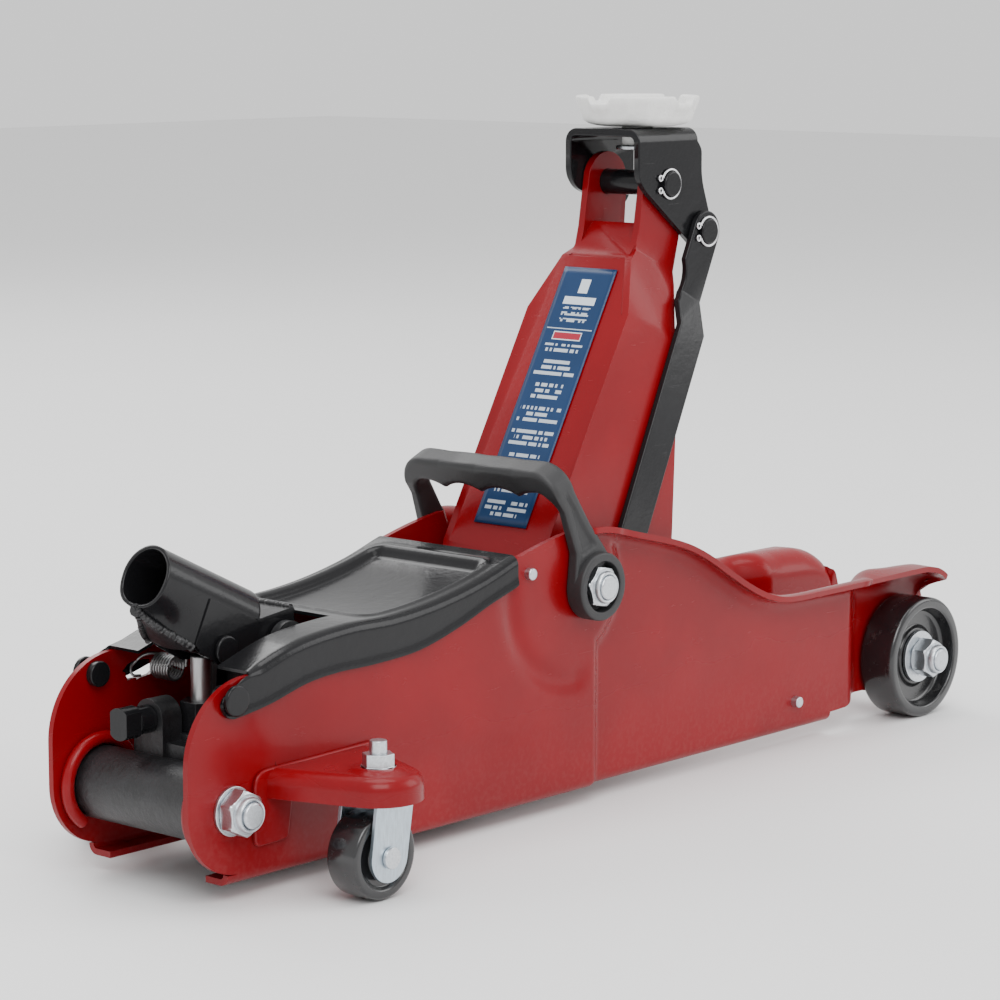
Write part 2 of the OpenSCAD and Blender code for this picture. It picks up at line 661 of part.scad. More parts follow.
// Link bar drawn along its own length from the anchor; w points away from the arm.
module link_shape() difference() {
    union() {
        translate([0, -link_half_w]) square([arm_len, 2 * link_half_w]);
        circle(r = link_half_w);
        translate([arm_len, 0]) circle(r = link_half_w);
    }
    translate([arm_len - 31, link_half_w + 11.5]) circle(r = 16);
    circle(r = pin_d / 2 + run_gap);
    translate([arm_len, 0]) circle(r = pin_d / 2 + loose_gap);
}

link_bend_a = arm_len - 54.6;
link_bend_b = arm_len - 36.6;

module link_plan() polygon([[-20, link_out], [link_bend_a, link_out], [link_bend_b, link_in],
    [arm_len + 30, link_in], [arm_len + 30, link_in + link_t], [link_bend_b + 1, link_in + link_t],
    [link_bend_a + 1, link_out + link_t], [-20, link_out + link_t]]);

module link_bar() color(black) place() translate([anchor_x, 0, anchor_z])
    rotate([0, -raised_deg, 0]) intersection() {
        on_side(-1) translate([0, 0, -40]) linear_extrude(80) link_plan();
        across(-60, 60) link_shape();
    }

module link_anchor() color(steel) place()
    bar_y(pin_d / 2, -link_out, -mid_inner, anchor_x, anchor_z);

// ---------- ram ----------
module ram() color(steel) place() {
    bar_x(ram_d / 2, gland_x - 34, ram_face_x - 7.9, 0, unit_z);
    bar_x(ram_d / 2 + 1, ram_face_x - 8, ram_face_x, 0, unit_z);
}

module ram_seal() color(black) place() difference() {
    bar_x(ram_d / 2 + 0.95, gland_x - 40, gland_x - 34, 0, unit_z);
    bar_x(4, gland_x - 41, gland_x - 33, 0, unit_z);
}

// ---------- carry handle ----------
// The handle leans back from the main pivot: n runs across its depth, e runs up along it.
grip_lean = 23.7;
boss_r = 17;
leg_in = rear_half + 0.7;
leg_out = rear_half + 7.3;
boss_out = leg_in + boss_w;
grip_top = grip_reach + 8;
grip_low = grip_reach - 8;
dip_pitch = 24.5;
dip_depth = 3.8;
end_y = leg_out - 16;

function dip(y) = dip_depth * abs(sin(180 * y / dip_pitch));

// Outline across the jack: tapered legs, rounded corners and four finger dips under the grip.
module handle_arch() polygon(concat(
    [[leg_in, 8], [leg_out, 8], [leg_out, 16]],
    arc([end_y, grip_top - 14], 14, 8, 90, 6), arc([-end_y, grip_top - 14], 14, 90, 172, 6),
    [[-leg_out, 16], [-leg_out, 8], [-leg_in, 8], [-leg_in, grip_low - 8], [-leg_in + 3, grip_low]],
    [for (y = [-end_y:dip_pitch / 10:end_y]) [y, grip_low + dip(y)]],
    [[leg_in - 3, grip_low], [leg_in, grip_low - 8]]));

// Outline along the jack: wide over the bosses, slim on the legs, deeper at the grip.
module handle_side() polygon([[-15, 7], [-7, 22], [-5.5, grip_low - 6], [-7.5, grip_low + 2],
    [-7.5, grip_top + 1], [6.5, grip_top + 1], [5.5, grip_low], [8.5, 30], [14.5, 7]]);

module handle_frame() translate([0, 0, pivot_z]) rotate([0, -grip_lean, 0]) children();

module carry_handle() color(black) place() difference() {
    union() {
        handle_frame() intersection() {
            translate([-20, 0, 0]) rotate([90, 0, 90]) linear_extrude(40) handle_arch();
            across(-80, 80) handle_side();
        }
        for (s = [-1, 1]) bar_y(boss_r, s * leg_in, s * boss_out, 0, pivot_z);
    }
    bar_y(shaft_d / 2 + 0.15, -80, 80, 0, pivot_z);
    for (s = [-1, 1]) bar_y(boss_r - 4.5, s * (rear_half + 3.8), s * 80, 0, pivot_z);
}

// ---------- castors ----------
module castor_studs() color(steel) place() for (s = [-1, 1]) translate([swivel_x, s * castor_y, 0]) {
    translate([0, 0, 48.5]) cylinder(r = m8_r, h = 22.9);
    translate([0, 0, 48.5]) cylinder(r = 8, h = 3.3);
    difference() {
        union() {
            translate([0, 0, shelf_top + 0.1]) cylinder(r = 8.5, h = 1.5);
            translate([0, 0, shelf_top + 1.5]) cylinder(r = m8_flats / sqrt(3), h = 6, $fn = 6);
        }
        cylinder(r = m8_r + run_gap, h = 100);
    }
}

module fork_leg() hull() {
    translate([-fork_w / 2, 50]) square([fork_w, 5]);
    translate([-castor_trail, castor_r]) circle(r = fork_w / 2, $fn = 48);
}

module castor_fork(s) translate([swivel_x, s * castor_y, 0]) difference() {
    union() {
        for (k = [-1, 1]) across(k * (fork_half - fork_t), k * fork_half) fork_leg();
        translate([-fork_w / 2, -fork_half, 52.1]) cube([fork_w, 2 * fork_half, 2.9]);
    }
    cylinder(r = m8_r + 0.2, h = 100);
    bar_y(castor_pin_r, -40, 40, -castor_trail, castor_r);
}

module castor_axle(s) translate([swivel_x - castor_trail, s * castor_y, castor_r]) {
    bar_y(castor_pin_r - 0.02, -fork_half - 0.1, fork_half + 0.1, 0, 0);
    for (k = [-1, 1]) bar_y(5, k * (fork_half + 0.1), k * (fork_half + 2.2), 0, 0);
}

// Wheel turned about Y: profile of radius against width.
module turned_y(x, y, z) translate([x, y, z]) rotate([-90, 0, 0]) rotate_extrude($fn = 96) children();

module castor_wheel(s) turned_y(swivel_x - castor_trail, s * castor_y, castor_r) polygon(concat(
    [[4.1, -castor_w / 2 + 0.2], [9, -castor_w / 2 + 0.2], [10, -castor_w / 2 + 2],
    [14, -castor_w / 2 + 2], [16, -castor_w / 2]], arc([castor_r - 3, -castor_w / 2 + 3], 3, -90, 0, 4),
    arc([castor_r - 3, castor_w / 2 - 3], 3, 0, 90, 4), [[16, castor_w / 2], [14, castor_w / 2 - 2],
    [10, castor_w / 2 - 2], [9, castor_w / 2 - 0.2], [4.1, castor_w / 2 - 0.2]]));

module castor_fork_left() color(zinc) place() castor_fork(1);
module castor_fork_right() color(zinc) place() castor_fork(-1);
module castor_axle_left() color(zinc) place() castor_axle(1);
module castor_axle_right() color(zinc) place() castor_axle(-1);
module castor_wheel_left() color(black) place() castor_wheel(1);
module castor_wheel_right() color(black) place() castor_wheel(-1);

// ---------- front wheels ----------
// Profile of the left wheel: raised rim, recessed web and a hub on the axle sleeve.
module front_wheel_shape() polygon(concat(
    [[sleeve_r + run_gap, wheel_in], [hub_r, wheel_in], [hub_r, wheel_in + rim_step],
    [rim_r - 2, wheel_in + rim_step], [rim_r - 1, wheel_in]],
    arc([wheel_r - tread_round, wheel_in + tread_round], tread_round, -90, 0, 4),
    arc([wheel_r - tread_round, wheel_out - tread_round], tread_round, 0, 90, 4),
    [[rim_r + 1, wheel_out], [rim_r - 0.5, wheel_out - 8], [hub_r + 3, wheel_out - 8.5],
    [hub_r + 1.5, hub_out], [sleeve_r + run_gap, hub_out]]));

module front_wheel_left() color(black) place() turned_y(axle_x, 0, wheel_r) front_wheel_shape();
module front_wheel_right() color(black) place() on_side(-1) turned_y(axle_x, 0, wheel_r)
    front_wheel_shape();

side_plate_left();
side_plate_right();
trunnion_ring_left();
trunnion_ring_right();
castor_bracket_left();
castor_bracket_right();
power_unit_block();
reservoir_tube();
ram_cylinder();
end_gland();
pump_barrel();
filler_plug();
trunnion_studs();
hex_nuts();
washers();
main_shaft();
front_axle();
axle_sleeves();
cover();
cover_studs();
cross_rod();
stub_pins();
socket_pivot_pin();
link_anchor();
castor_studs();
lift_arm();
ram_roller();
arm_pin();
pin_clips();
instruction_panel();
saddle_bracket();
link_pin();
link_clip();
saddle();
saddle_screw();
link_bar();
ram();
ram_seal();
handle_socket();
socket_pin();
pump_plunger();
release_valve();
carry_handle();
castor_fork_left();
castor_fork_right();
castor_axle_left();
castor_axle_right();
castor_wheel_left();
castor_wheel_right();
front_wheel_left();
front_wheel_right();
return_spring();
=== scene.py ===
"""Hydraulic trolley jack: the finished surfaces round the jack's working frame."""

import bmesh
import bpy
import numpy as np
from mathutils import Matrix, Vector


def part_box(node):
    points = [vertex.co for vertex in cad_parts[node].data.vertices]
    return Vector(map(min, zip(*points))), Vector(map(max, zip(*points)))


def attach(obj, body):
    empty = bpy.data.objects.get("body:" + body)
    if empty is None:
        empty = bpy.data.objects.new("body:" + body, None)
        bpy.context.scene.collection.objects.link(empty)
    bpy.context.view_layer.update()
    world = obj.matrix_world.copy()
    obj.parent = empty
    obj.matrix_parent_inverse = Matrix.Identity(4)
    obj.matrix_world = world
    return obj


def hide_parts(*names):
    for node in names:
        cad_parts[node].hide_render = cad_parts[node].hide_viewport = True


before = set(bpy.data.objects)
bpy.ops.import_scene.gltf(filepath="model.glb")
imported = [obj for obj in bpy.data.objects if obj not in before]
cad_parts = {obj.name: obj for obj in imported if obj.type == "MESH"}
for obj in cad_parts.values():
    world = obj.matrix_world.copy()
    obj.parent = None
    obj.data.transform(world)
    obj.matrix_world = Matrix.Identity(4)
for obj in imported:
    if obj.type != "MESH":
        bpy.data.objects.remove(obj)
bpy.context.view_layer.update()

bl_info = {
    "name": "Trolley Jack Finisher",
    "version": (1, 0, 0),
    "blender": (4, 5, 0),
    "location": "View3D > Sidebar > Jack",
    "description": "Builds the pressed panels, wheels, handle and finishes of a trolley jack",
    "category": "Object",
}

MM = 0.001


def middle(node):
    """Middle of a node's box, in millimetres."""
    low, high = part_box(node)
    return (np.array(low) + np.array(high)) / 2 / MM


# Everything is worked out in millimetres from the lift arm's main pivot.
PIVOT_X = middle("main_shaft")[0]
PIVOT_Z = middle("main_shaft")[2]
PIN = middle("arm_pin") - (PIVOT_X, 0, 0)
SADDLE = middle("saddle_screw") - (PIVOT_X, 0, 0)
FRONT_AXLE = middle("front_axle") - (PIVOT_X, 0, 0)
TRUNNION = middle("trunnion_studs") - (PIVOT_X, 0, 0)
PLUNGER = middle("pump_plunger") - (PIVOT_X, 0, 0)
LINK_PIN = middle("link_pin") - (PIVOT_X, 0, 0)
TAIL_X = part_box("side_plate_left")[0][0] / MM - PIVOT_X
NOSE_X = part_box("side_plate_left")[1][0] / MM - PIVOT_X
REAR_HALF = 46.0  # outer faces of the side plates, behind the pivot, ahead of it and at the nose
MID_HALF = 42.0
NOSE_HALF = 30.5
FLANGE_HALF = 53.0  # edge of the turned-out flange
CASTOR_Y = middle("castor_axle_left")[1]
CASTOR_AXLE = middle("castor_axle_left") - (PIVOT_X, 0, 0)
SWIVEL_PIN = middle("castor_studs")[0] - PIVOT_X
LEAN = np.radians(23.7)  # carry handle, back from upright
SOCKET_TILT = np.radians(26.0)  # handle socket's axis, down from level
MOUTH = np.array([TRUNNION[0] - 7.3, 0, 143.6])  # middle of the socket's open end
WEB_LEAN = np.radians(60.4)  # lift arm's web, up from level


# ---------------------------------------------------------------- shader wiring
class Wire:
    """A shader socket. Arithmetic on it adds Math nodes to its finish."""

    def __init__(self, finish, socket):
        self.finish, self.socket = finish, socket

    def math(self, operation, *values):
        """One Math node over the values."""
        return self.finish.add("ShaderNodeMath", {"operation": operation}, dict(enumerate(values)))

    def __add__(self, other):
        return self.math("ADD", self, other)

    def __sub__(self, other):
        return self.math("SUBTRACT", self, other)

    def __mul__(self, other):
        return self.math("MULTIPLY", self, other)

    def __truediv__(self, other):
        return self.math("DIVIDE", self, other)

    def over(self, limit):
        """1 where the value is above the limit, else 0."""
        return self.math("GREATER_THAN", self, limit)

    def under(self, limit):
        """1 where the value is below the limit, else 0."""
        return self.math("LESS_THAN", self, limit)

    def part(self):
        """Fraction after the whole number."""
        return self.math("FRACT", self)

    def floor(self):
        """Whole number below."""
        return self.math("FLOOR", self)

    def size(self):
        """The value without its sign."""
        return self.math("ABSOLUTE", self)

    def ramp(self, low, high, a=0.0, b=1.0):
        """Smooth step from a at low to b at high."""
        return self.finish.add("ShaderNodeMapRange", {"interpolation_type": "SMOOTHSTEP"},
                               {0: self, 1: low, 2: high, 3: a, 4: b})


class Finish:
    """One procedural material, built node by node."""

    def __init__(self, name, **constants):
        self.material = bpy.data.materials.new(name)
        self.material.use_nodes = True
        self.tree = self.material.node_tree
        self.tree.nodes.clear()
        output = self.tree.nodes.new("ShaderNodeOutputMaterial")
        self.shader = self.tree.nodes.new("ShaderNodeBsdfPrincipled")
        self.tree.links.new(self.shader.outputs[0], output.inputs[0])
        for key, value in constants.items():
            self.set(key.replace("_", " ").title().replace("Ior", "IOR"), value)
        self.place = self.add("ShaderNodeTexCoord", {}, {}, 3)

    def put(self, socket, value):
        """Links a wire to a socket, or stores a plain value in it."""
        if isinstance(value, Wire):
            self.tree.links.new(value.socket, socket)
        else:
            socket.default_value = value

    def set(self, socket, value):
        """Feeds the shader's own socket."""
        self.put(self.shader.inputs[socket], value)

    def add(self, kind, settings=None, inputs=None, out=0):
        """Adds one node: settings first, then the values or links of its sockets."""
        node = self.tree.nodes.new(kind)
        for key, value in (settings or {}).items():
            setattr(node, key, value)
        for key, value in (inputs or {}).items():
            self.put(node.inputs[key], value)
        return Wire(self, node.outputs[out])

    def noise(self, scale, detail=3.0, rough=0.5, stretch=None):
        """Noise on object coordinates; scale counts blobs per metre."""
        where = self.place
        if stretch:
            where = self.add("ShaderNodeMapping", {}, {"Vector": where, "Scale": stretch})
        return self.add("ShaderNodeTexNoise", {}, {"Vector": where, "Scale": scale,
                                                   "Detail": detail, "Roughness": rough})

    def cells(self, scale):
        """Distance to the nearest of scattered points; scale counts them per metre."""
        return self.add("ShaderNodeTexVoronoi", {}, {"Vector": self.place, "Scale": scale})

    def blend(self, factor, a, b):
        """Colour a where the factor is 0, colour b where it is 1."""
        return self.add("ShaderNodeMix", {"data_type": "RGBA"}, {0: factor, 6: a, 7: b}, 2)

    def split(self, where=None):
        """X, Y and Z of a vector as three wires."""
        node = self.tree.nodes.new("ShaderNodeSeparateXYZ")
        self.put(node.inputs[0], where or self.place)
        return [Wire(self, out) for out in node.outputs]

    def bump(self, height, millimetres):
        """Relief whose height of 1 stands the given millimetres proud."""
        self.set("Normal", self.add("ShaderNodeBump", {}, {
            "Height": height, "Distance": millimetres * MM, "Strength": 1.0}))


def rgb(colour):
    """Colour with its alpha."""
    return (colour[0], colour[1], colour[2], 1.0)


def shade(colour, gain):
    """Colour made lighter or darker, with its alpha."""
    return (colour[0] * gain, colour[1] * gain, colour[2] * gain, 1.0)


def gloss_paint(name, colour, rough, coat, wear, peel=0.02, dust=0.25):
    """Stoved gloss paint: faint orange peel, cloudy tone, fine dust low down."""
    f = Finish(name, coat_weight=coat, coat_roughness=0.08, specular_ior_level=0.2)
    cloud = f.noise(14.0, 4.0)
    speck = f.noise(420.0, 2.0)
    scuff = f.noise(60.0, 6.0, 0.7, (1.0, 1.0, 3.0)).ramp(0.62, 0.78)
    scratch = f.noise(90.0, 3.0, 0.6, (0.25, 1.0, 9.0)).ramp(0.70, 0.76)
    height = f.split()[2].ramp(0.0, 0.07, 1.0, 0.0)
    base = f.blend(cloud.ramp(0.35, 0.65), shade(colour, 0.9), shade(colour, 1.08))
    dusty = f.blend(height * speck.ramp(0.4, 0.7) * dust, base, rgb((0.30, 0.25, 0.22)))
    f.set("Base Color", f.blend(scratch * wear, dusty, shade(colour, 1.7)))
    f.set("Roughness", cloud * 0.08 + scuff * 0.14 + scratch * 0.12 + height * 0.12
          + (rough - 0.04))
    f.bump(f.noise(520.0, 2.0) * 0.6 + f.noise(130.0, 1.0) + scratch * -0.3, peel * 4)
    return f.material


def cast_skin(name, colour, rough, grain):
    """Painted rough casting: pitted skin with broad lumps."""
    f = Finish(name, coat_weight=0.15, coat_roughness=0.3)
    lumps, pits = f.noise(90.0, 5.0, 0.6), f.noise(700.0, 4.0, 0.65)
    hollows = f.cells(260.0)
    tone = (lumps * 0.6 + pits * 0.4).ramp(0.38, 0.62)
    f.set("Base Color", f.blend(tone, shade(colour, 0.65), shade(colour, 1.6)))
    f.set("Roughness", pits * 0.25 + (rough - 0.1))
    f.bump(lumps * 1.2 + pits * 0.7 + hollows * 0.4, grain)
    return f.material


def plated(name, colour, rough, brush=(1.0, 1.0, 1.0), blotch=0.5):
    """Zinc plate or bright steel: fine brushed lines, cloudy passivation and small dark spots."""
    f = Finish(name, metallic=1.0)
    tint = (0.93, 0.96, 1.0)
    cloud, grain = f.noise(45.0, 5.0, 0.6), f.noise(900.0, 3.0, 0.6, brush)
    spots = f.noise(380.0, 2.0).ramp(0.66, 0.74)
    tone = f.blend(cloud.ramp(0.35, 0.7) * blotch, rgb(colour),
                   (colour[0] * tint[0], colour[1] * tint[1], colour[2] * tint[2], 1.0))
    dark = f.blend(spots * 0.35, tone, shade(colour, 0.45))
    f.set("Base Color", f.blend(grain.ramp(0.3, 0.7), dark, shade(colour, 0.82)))
    f.set("Roughness", cloud * 0.16 + grain * 0.14 + spots * 0.15 + (rough - 0.14))
    f.bump(grain * 0.6 + cloud, 0.05)
    return f.material


def nylon(name, colour, rough):
    """Moulded nylon wheel: glossy, with scuffed and dusty patches."""
    f = Finish(name, coat_weight=0.35, coat_roughness=0.12, ior=1.52)
    cloud, fine = f.noise(55.0, 4.0, 0.6), f.noise(800.0, 3.0, 0.6)
    scuff = f.noise(170.0, 5.0, 0.7).ramp(0.55, 0.72)
    f.set("Base Color", f.blend(scuff * 0.35, shade(colour, 1.0), rgb((0.055, 0.052, 0.05))))
    f.set("Roughness", cloud * 0.10 + scuff * 0.18 + (rough - 0.04))
    f.bump(cloud * 1.5 + fine * 0.5, 0.06)
    return f.material


def grained_plastic(name, colour, rough):
    """Spark-eroded plastic grain with handled, slightly shinier patches."""
    f = Finish(name, ior=1.48)
    grain, cells = f.noise(1500.0, 2.0), f.cells(1400.0)
    handled = f.noise(26.0, 3.0).ramp(0.45, 0.65)
    f.set("Base Color", f.blend(handled, shade(colour, 1.15), shade(colour, 0.85)))
    f.set("Roughness", grain * 0.12 + handled * -0.09 + rough)
    f.bump(grain + cells * 0.6, 0.05)
    return f.material


def powder_coat(name, colour, rough):
    """Off-white powder coat over a coarse casting, greyer where it was handled."""
    f = Finish(name, coat_weight=0.05, ior=1.5)
    lumps, grain = f.noise(160.0, 5.0, 0.6), f.noise(900.0, 3.0, 0.6)
    mark = f.noise(70.0, 5.0, 0.7).ramp(0.62, 0.74)
    tone = f.blend(lumps.ramp(0.35, 0.65), shade(colour, 0.93), rgb(colour))
    f.set("Base Color", f.blend(mark * 0.3, tone, rgb((0.42, 0.42, 0.41))))
    f.set("Roughness", grain * 0.15 + mark * 0.1 + (rough - 0.07))
    f.bump(lumps * 1.6 + grain, 0.22)
    return f.material


def printed_panel(name, ground, ink, accent):
    """Printed film: dark ground, a broad pale block, an accent block and rows of short bars."""
    f = Finish(name, coat_weight=0.1, coat_roughness=0.1, specular_ior_level=0.25)
    u, v, _ = f.split(f.add("ShaderNodeUVMap", {"uv_map": "UVMap"}))
    side = u.over(0.07) * u.under(0.93) * v.over(0.02) * v.under(0.985)
    row = v * 44.0
    number = row.floor()
    length = f.add("ShaderNodeTexWhiteNoise", {"noise_dimensions": "1D"}, {"W": number}).ramp(
        0.0, 1.0, 0.24, 0.40)
    off = (u - 0.5).size()
    broken = f.add("ShaderNodeTexWhiteNoise", {"noise_dimensions": "2D"}, {
        "Vector": f.add("ShaderNodeCombineXYZ", {}, {0: (u * 26.0).floor(), 1: number})}).over(0.24)
    lines = row.part().over(0.42) * off.under(length) * broken * v.under(0.70)
    gaps = (number / 4.0).part().over(0.1)
    capital = v.over(0.90) * v.under(0.955) * off.under(0.09)
    title = v.over(0.855) * v.under(0.885) * off.under(0.30)
    subtitle = ((v - 0.775) * 40.0).part().over(0.45) * v.over(0.775)
    subtitle = subtitle * v.under(0.845) * off.under(0.26)
    rule = v.over(0.757) * v.under(0.761) * side
    badge = v.over(0.715) * v.under(0.748) * off.under(0.27)
    inner = v.over(0.719) * v.under(0.744) * off.under(0.255)
    fade = f.noise(30.0, 4.0).ramp(0.3, 0.7)
    paper = f.blend(fade, shade(ground, 0.92), shade(ground, 1.08))
    paper = f.blend(inner, paper, rgb(accent))
    pale = (lines * gaps * 0.75 + capital + title + subtitle * broken * 0.75 + rule * 0.7
            + (badge - inner)) * side
    f.set("Base Color", f.blend(pale, paper, rgb(ink)))
    f.set("Roughness", fade * 0.1 + 0.28)
    f.bump(f.noise(40.0, 2.0), 0.08)
    return f.material


def plain_floor(name, colour):
    """Matt floor with the faintest clouds."""
    f = Finish(name)
    cloud = f.noise(3.0, 4.0)
    f.set("Base Color", f.blend(cloud, shade(colour, 0.99), rgb(colour)))
    f.set("Roughness", cloud * 0.1 + 0.6)
    return f.material


# ---------------------------------------------------------------- surfaces
def strip(points, around=False, along=False):
    """Quads between neighbours of a grid of points; around and along close it each way."""
    rows, columns = points.shape[:2]
    i = np.arange(rows if along else rows - 1)
    j = np.arange(columns if around else columns - 1)
    a, b = np.meshgrid(i, j, indexing="ij")
    a1, b1 = (a + 1) % rows, (b + 1) % columns
    quads = np.stack([a * columns + b, a1 * columns + b, a1 * columns + b1, a * columns + b1], -1)
    return points.reshape(-1, 3), quads.reshape(-1, 4).tolist()


def mirrored(part):
    """The other side's copy: Y changes sign and each face is turned round."""
    points, faces = part
    return points * (1, -1, 1), [face[::-1] for face in faces]


WELD = 0.004  # points of a made piece nearer than this, in mm, are one


def make(name, parts, finish, body, replaces=(), thick=0.0, bevel=0.0, sharp=38.0,
         outward=True, uv=None):
    """Joins the parts to one mesh at the origin, welds it, marks its sharp edges and rides it."""
    points, faces, start = [], [], 0
    for part, quads in parts:
        points.append(part)
        faces += [[index + start for index in face] for face in quads]
        start += len(part)
    places = np.vstack(points) * MM + (PIVOT_X * MM, 0, 0)
    mesh = bpy.data.meshes.new(name)
    mesh.from_pydata(places.tolist(), [], faces)
    if uv is not None:
        layer = mesh.uv_layers.new(name="UVMap")
        corners = np.zeros(len(mesh.loops), int)
        mesh.loops.foreach_get("vertex_index", corners)
        layer.data.foreach_set("uv", uv.reshape(-1, 2)[corners].ravel())
    rounded(mesh, WELD * MM, sharp, outward)
    piece = bpy.data.objects.new(name, mesh)
    bpy.context.scene.collection.objects.link(piece)
    mesh.materials.append(finish)
    if thick:
        wall = piece.modifiers.new("Wall", "SOLIDIFY")
        wall.thickness, wall.offset, wall.use_even_offset = thick * MM, -1.0, False
    edge_round(piece, bevel)
    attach(piece, body)
    if replaces:
        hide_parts(*replaces)
    return piece


def rounded(mesh, distance, sharp, outward):
    """Merges doubles, turns faces outward and marks edges sharper than an angle."""
    work = bmesh.new()
    work.from_mesh(mesh)
    bmesh.ops.remove_doubles(work, verts=work.verts, dist=distance)
    bmesh.ops.dissolve_degenerate(work, edges=work.edges, dist=distance / 2)
    if outward:
        bmesh.ops.recalc_face_normals(work, faces=work.faces)
    limit = float(np.radians(sharp))
    for edge in work.edges:
        edge.smooth = len(edge.link_faces) != 2 or edge.calc_face_angle(0.0) < limit
    for face in work.faces:
        face.smooth = True
    work.to_mesh(mesh)
    work.free()


def edge_round(piece, width):
    """Rounds the piece's edges of more than 40 degrees; a width of 0 leaves them."""
    if width:
        bevel = piece.modifiers.new("Rounded edges", "BEVEL")
        bevel.width, bevel.segments, bevel.limit_method = width * MM, 3, "ANGLE"
        bevel.angle_limit, bevel.harden_normals = np.radians(40.0), True


FLAT = np.radians(1.5)  # faces nearer to one plane than this are made one
CREASE = float(np.radians(32))  # edges sharper than this stay sharp in a refined node


def refined(node, finish, body, width):
    """A welded copy of a CAD node with flat faces made whole and its edges rounded."""
    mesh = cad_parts[node].data.copy()
    mesh.name = node + "_finished"
    mesh.materials.clear()
    mesh.materials.append(finish)
    work = bmesh.new()
    work.from_mesh(mesh)
    bmesh.ops.remove_doubles(work, verts=work.verts, dist=2e-6)
    bmesh.ops.dissolve_limit(work, angle_limit=FLAT, verts=work.verts, edges=work.edges)
    for edge in work.edges:
        edge.smooth = len(edge.link_faces) != 2 or edge.calc_face_angle(0.0) < CREASE
    for face in work.faces:
        face.smooth = True
    work.to_mesh(mesh)
    work.free()
    piece = bpy.data.objects.new(mesh.name, mesh)
    bpy.context.scene.collection.objects.link(piece)
    edge_round(piece, width)
    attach(piece, body)
    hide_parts(node)
    return piece


def turned(profile, centre, count):
    """Ring about Y: each (radius, height) of the closed profile is carried round the axis."""
    profile = np.asarray(profile, float)
    angle = np.linspace(0, 2 * np.pi, count, endpoint=False)[:, None]
    r, h = profile[None, :, 0], profile[None, :, 1]
    ring = np.stack([r * np.sin(angle), h + 0 * angle, r * np.cos(angle)], -1)
    return strip(ring + np.array(centre), around=True, along=True)


def fillet(corners, radius, steps=5):
    """Closed outline with each corner replaced by an arc tangent to both of its sides."""
    corners = np.asarray(corners, float)
    before, after = np.roll(corners, 1, 0), np.roll(corners, -1, 0)
    a, b = before - corners, after - corners
    la, lb = np.linalg.norm(a, axis=1), np.linalg.norm(b, axis=1)
    reach = np.minimum(np.broadcast_to(radius, la.shape), np.minimum(la, lb) * 0.45)
    p = corners + a / la[:, None] * reach[:, None]
    q = corners + b / lb[:, None] * reach[:, None]
    t = np.linspace(0, 1, steps)[None, :, None]
    arc = p[:, None] * (1 - t) ** 2 + corners[:, None] * 2 * t * (1 - t) + q[:, None] * t ** 2
    return arc.reshape(-1, 2)


def prism(outline, y0, y1):
    """Straight prism of an X-Z outline between two Y values."""
    outline = np.asarray(outline, float)
    n = len(outline)
    low = np.insert(outline, 1, y0, axis=1)
    high = np.insert(outline, 1, y1, axis=1)
    side = [[i, (i + 1) % n, n + (i + 1) % n, n + i] for i in range(n)]
    return np.vstack([low, high]), side + [list(range(n))[::-1], list(range(n, 2 * n))]


def tube(path, radius, sides, up=(0, 1, 0)):
    """Round section carried along a path; its size may change from point to point, and each end
    closes on the path."""
    path = np.asarray(path, float)
    radius = np.broadcast_to(radius, (len(path),)).astype(float)
    tangent = np.gradient(path, axis=0)
    tangent /= np.linalg.norm(tangent, axis=1)[:, None]
    first = np.cross(tangent, np.array(up, float))
    first /= np.linalg.norm(first, axis=1)[:, None]
    second = np.cross(tangent, first)
    turn = np.linspace(0, 2 * np.pi, sides, endpoint=False)
    ring = first[:, None] * np.cos(turn)[None, :, None]
    ring = ring + second[:, None] * np.sin(turn)[None, :, None]
    points = path[:, None] + ring * radius[:, None, None]
    points = np.concatenate([np.repeat(path[:1, None], sides, 1), points,
                             np.repeat(path[-1:, None], sides, 1)])
    return strip(points, around=True)


BEAD_PITCH = 2.2  # from one puddle of a weld to the next
BEAD_STEP = 0.45  # length of one ring of its tube


def bead(path, radius, seed, up=(0, 1, 0)):
    """Weld bead: a tube whose radius ripples with each puddle of the weld."""
    path = np.asarray(path, float)
    length = np.r_[0, np.cumsum(np.linalg.norm(np.diff(path, axis=0), axis=1))]
    count = max(int(length[-1] / BEAD_STEP), 8)
    s = np.linspace(0, length[-1], count)
    line = np.stack([np.interp(s, length, path[:, k]) for k in range(3)], -1)
    wander = np.random.default_rng(seed).normal(0, 0.12, (count, 3))
    ripple = 1 + 0.13 * np.cos(2 * np.pi * s / BEAD_PITCH) + 0.05 * np.sin(1.7 * s)
    return tube(line + wander, radius * ripple, 10, up)


def spline(points, samples):
    """Smooth curve through points: Catmull-Rom pieces, each a cubic of its four neighbours."""
    points = np.asarray(points, float)
    padded = np.vstack([2 * points[0] - points[1], points, 2 * points[-1] - points[-2]])
    s = np.linspace(0, len(points) - 1, samples)
    k = np.minimum(s.astype(int), len(points) - 2)
    t = (s - k)[:, None]
    a, b, c, d = padded[k], padded[k + 1], padded[k + 2], padded[k + 3]
    return 0.5 * (2 * b + (c - a) * t + (2 * a - 5 * b + 4 * c - d) * t ** 2
                  + (3 * b - a - 3 * c + d) * t ** 3)


def curve_z(points, x):
    """Height of a smooth curve at given X."""
    line = spline(points, 400)
    return np.interp(x, line[:, 0], line[:, 1])


def step(x, low, high):
    """Smooth step from 0 to 1."""
    t = np.clip((x - low) / (high - low), 0, 1)
    return t * t * (3 - 2 * t)


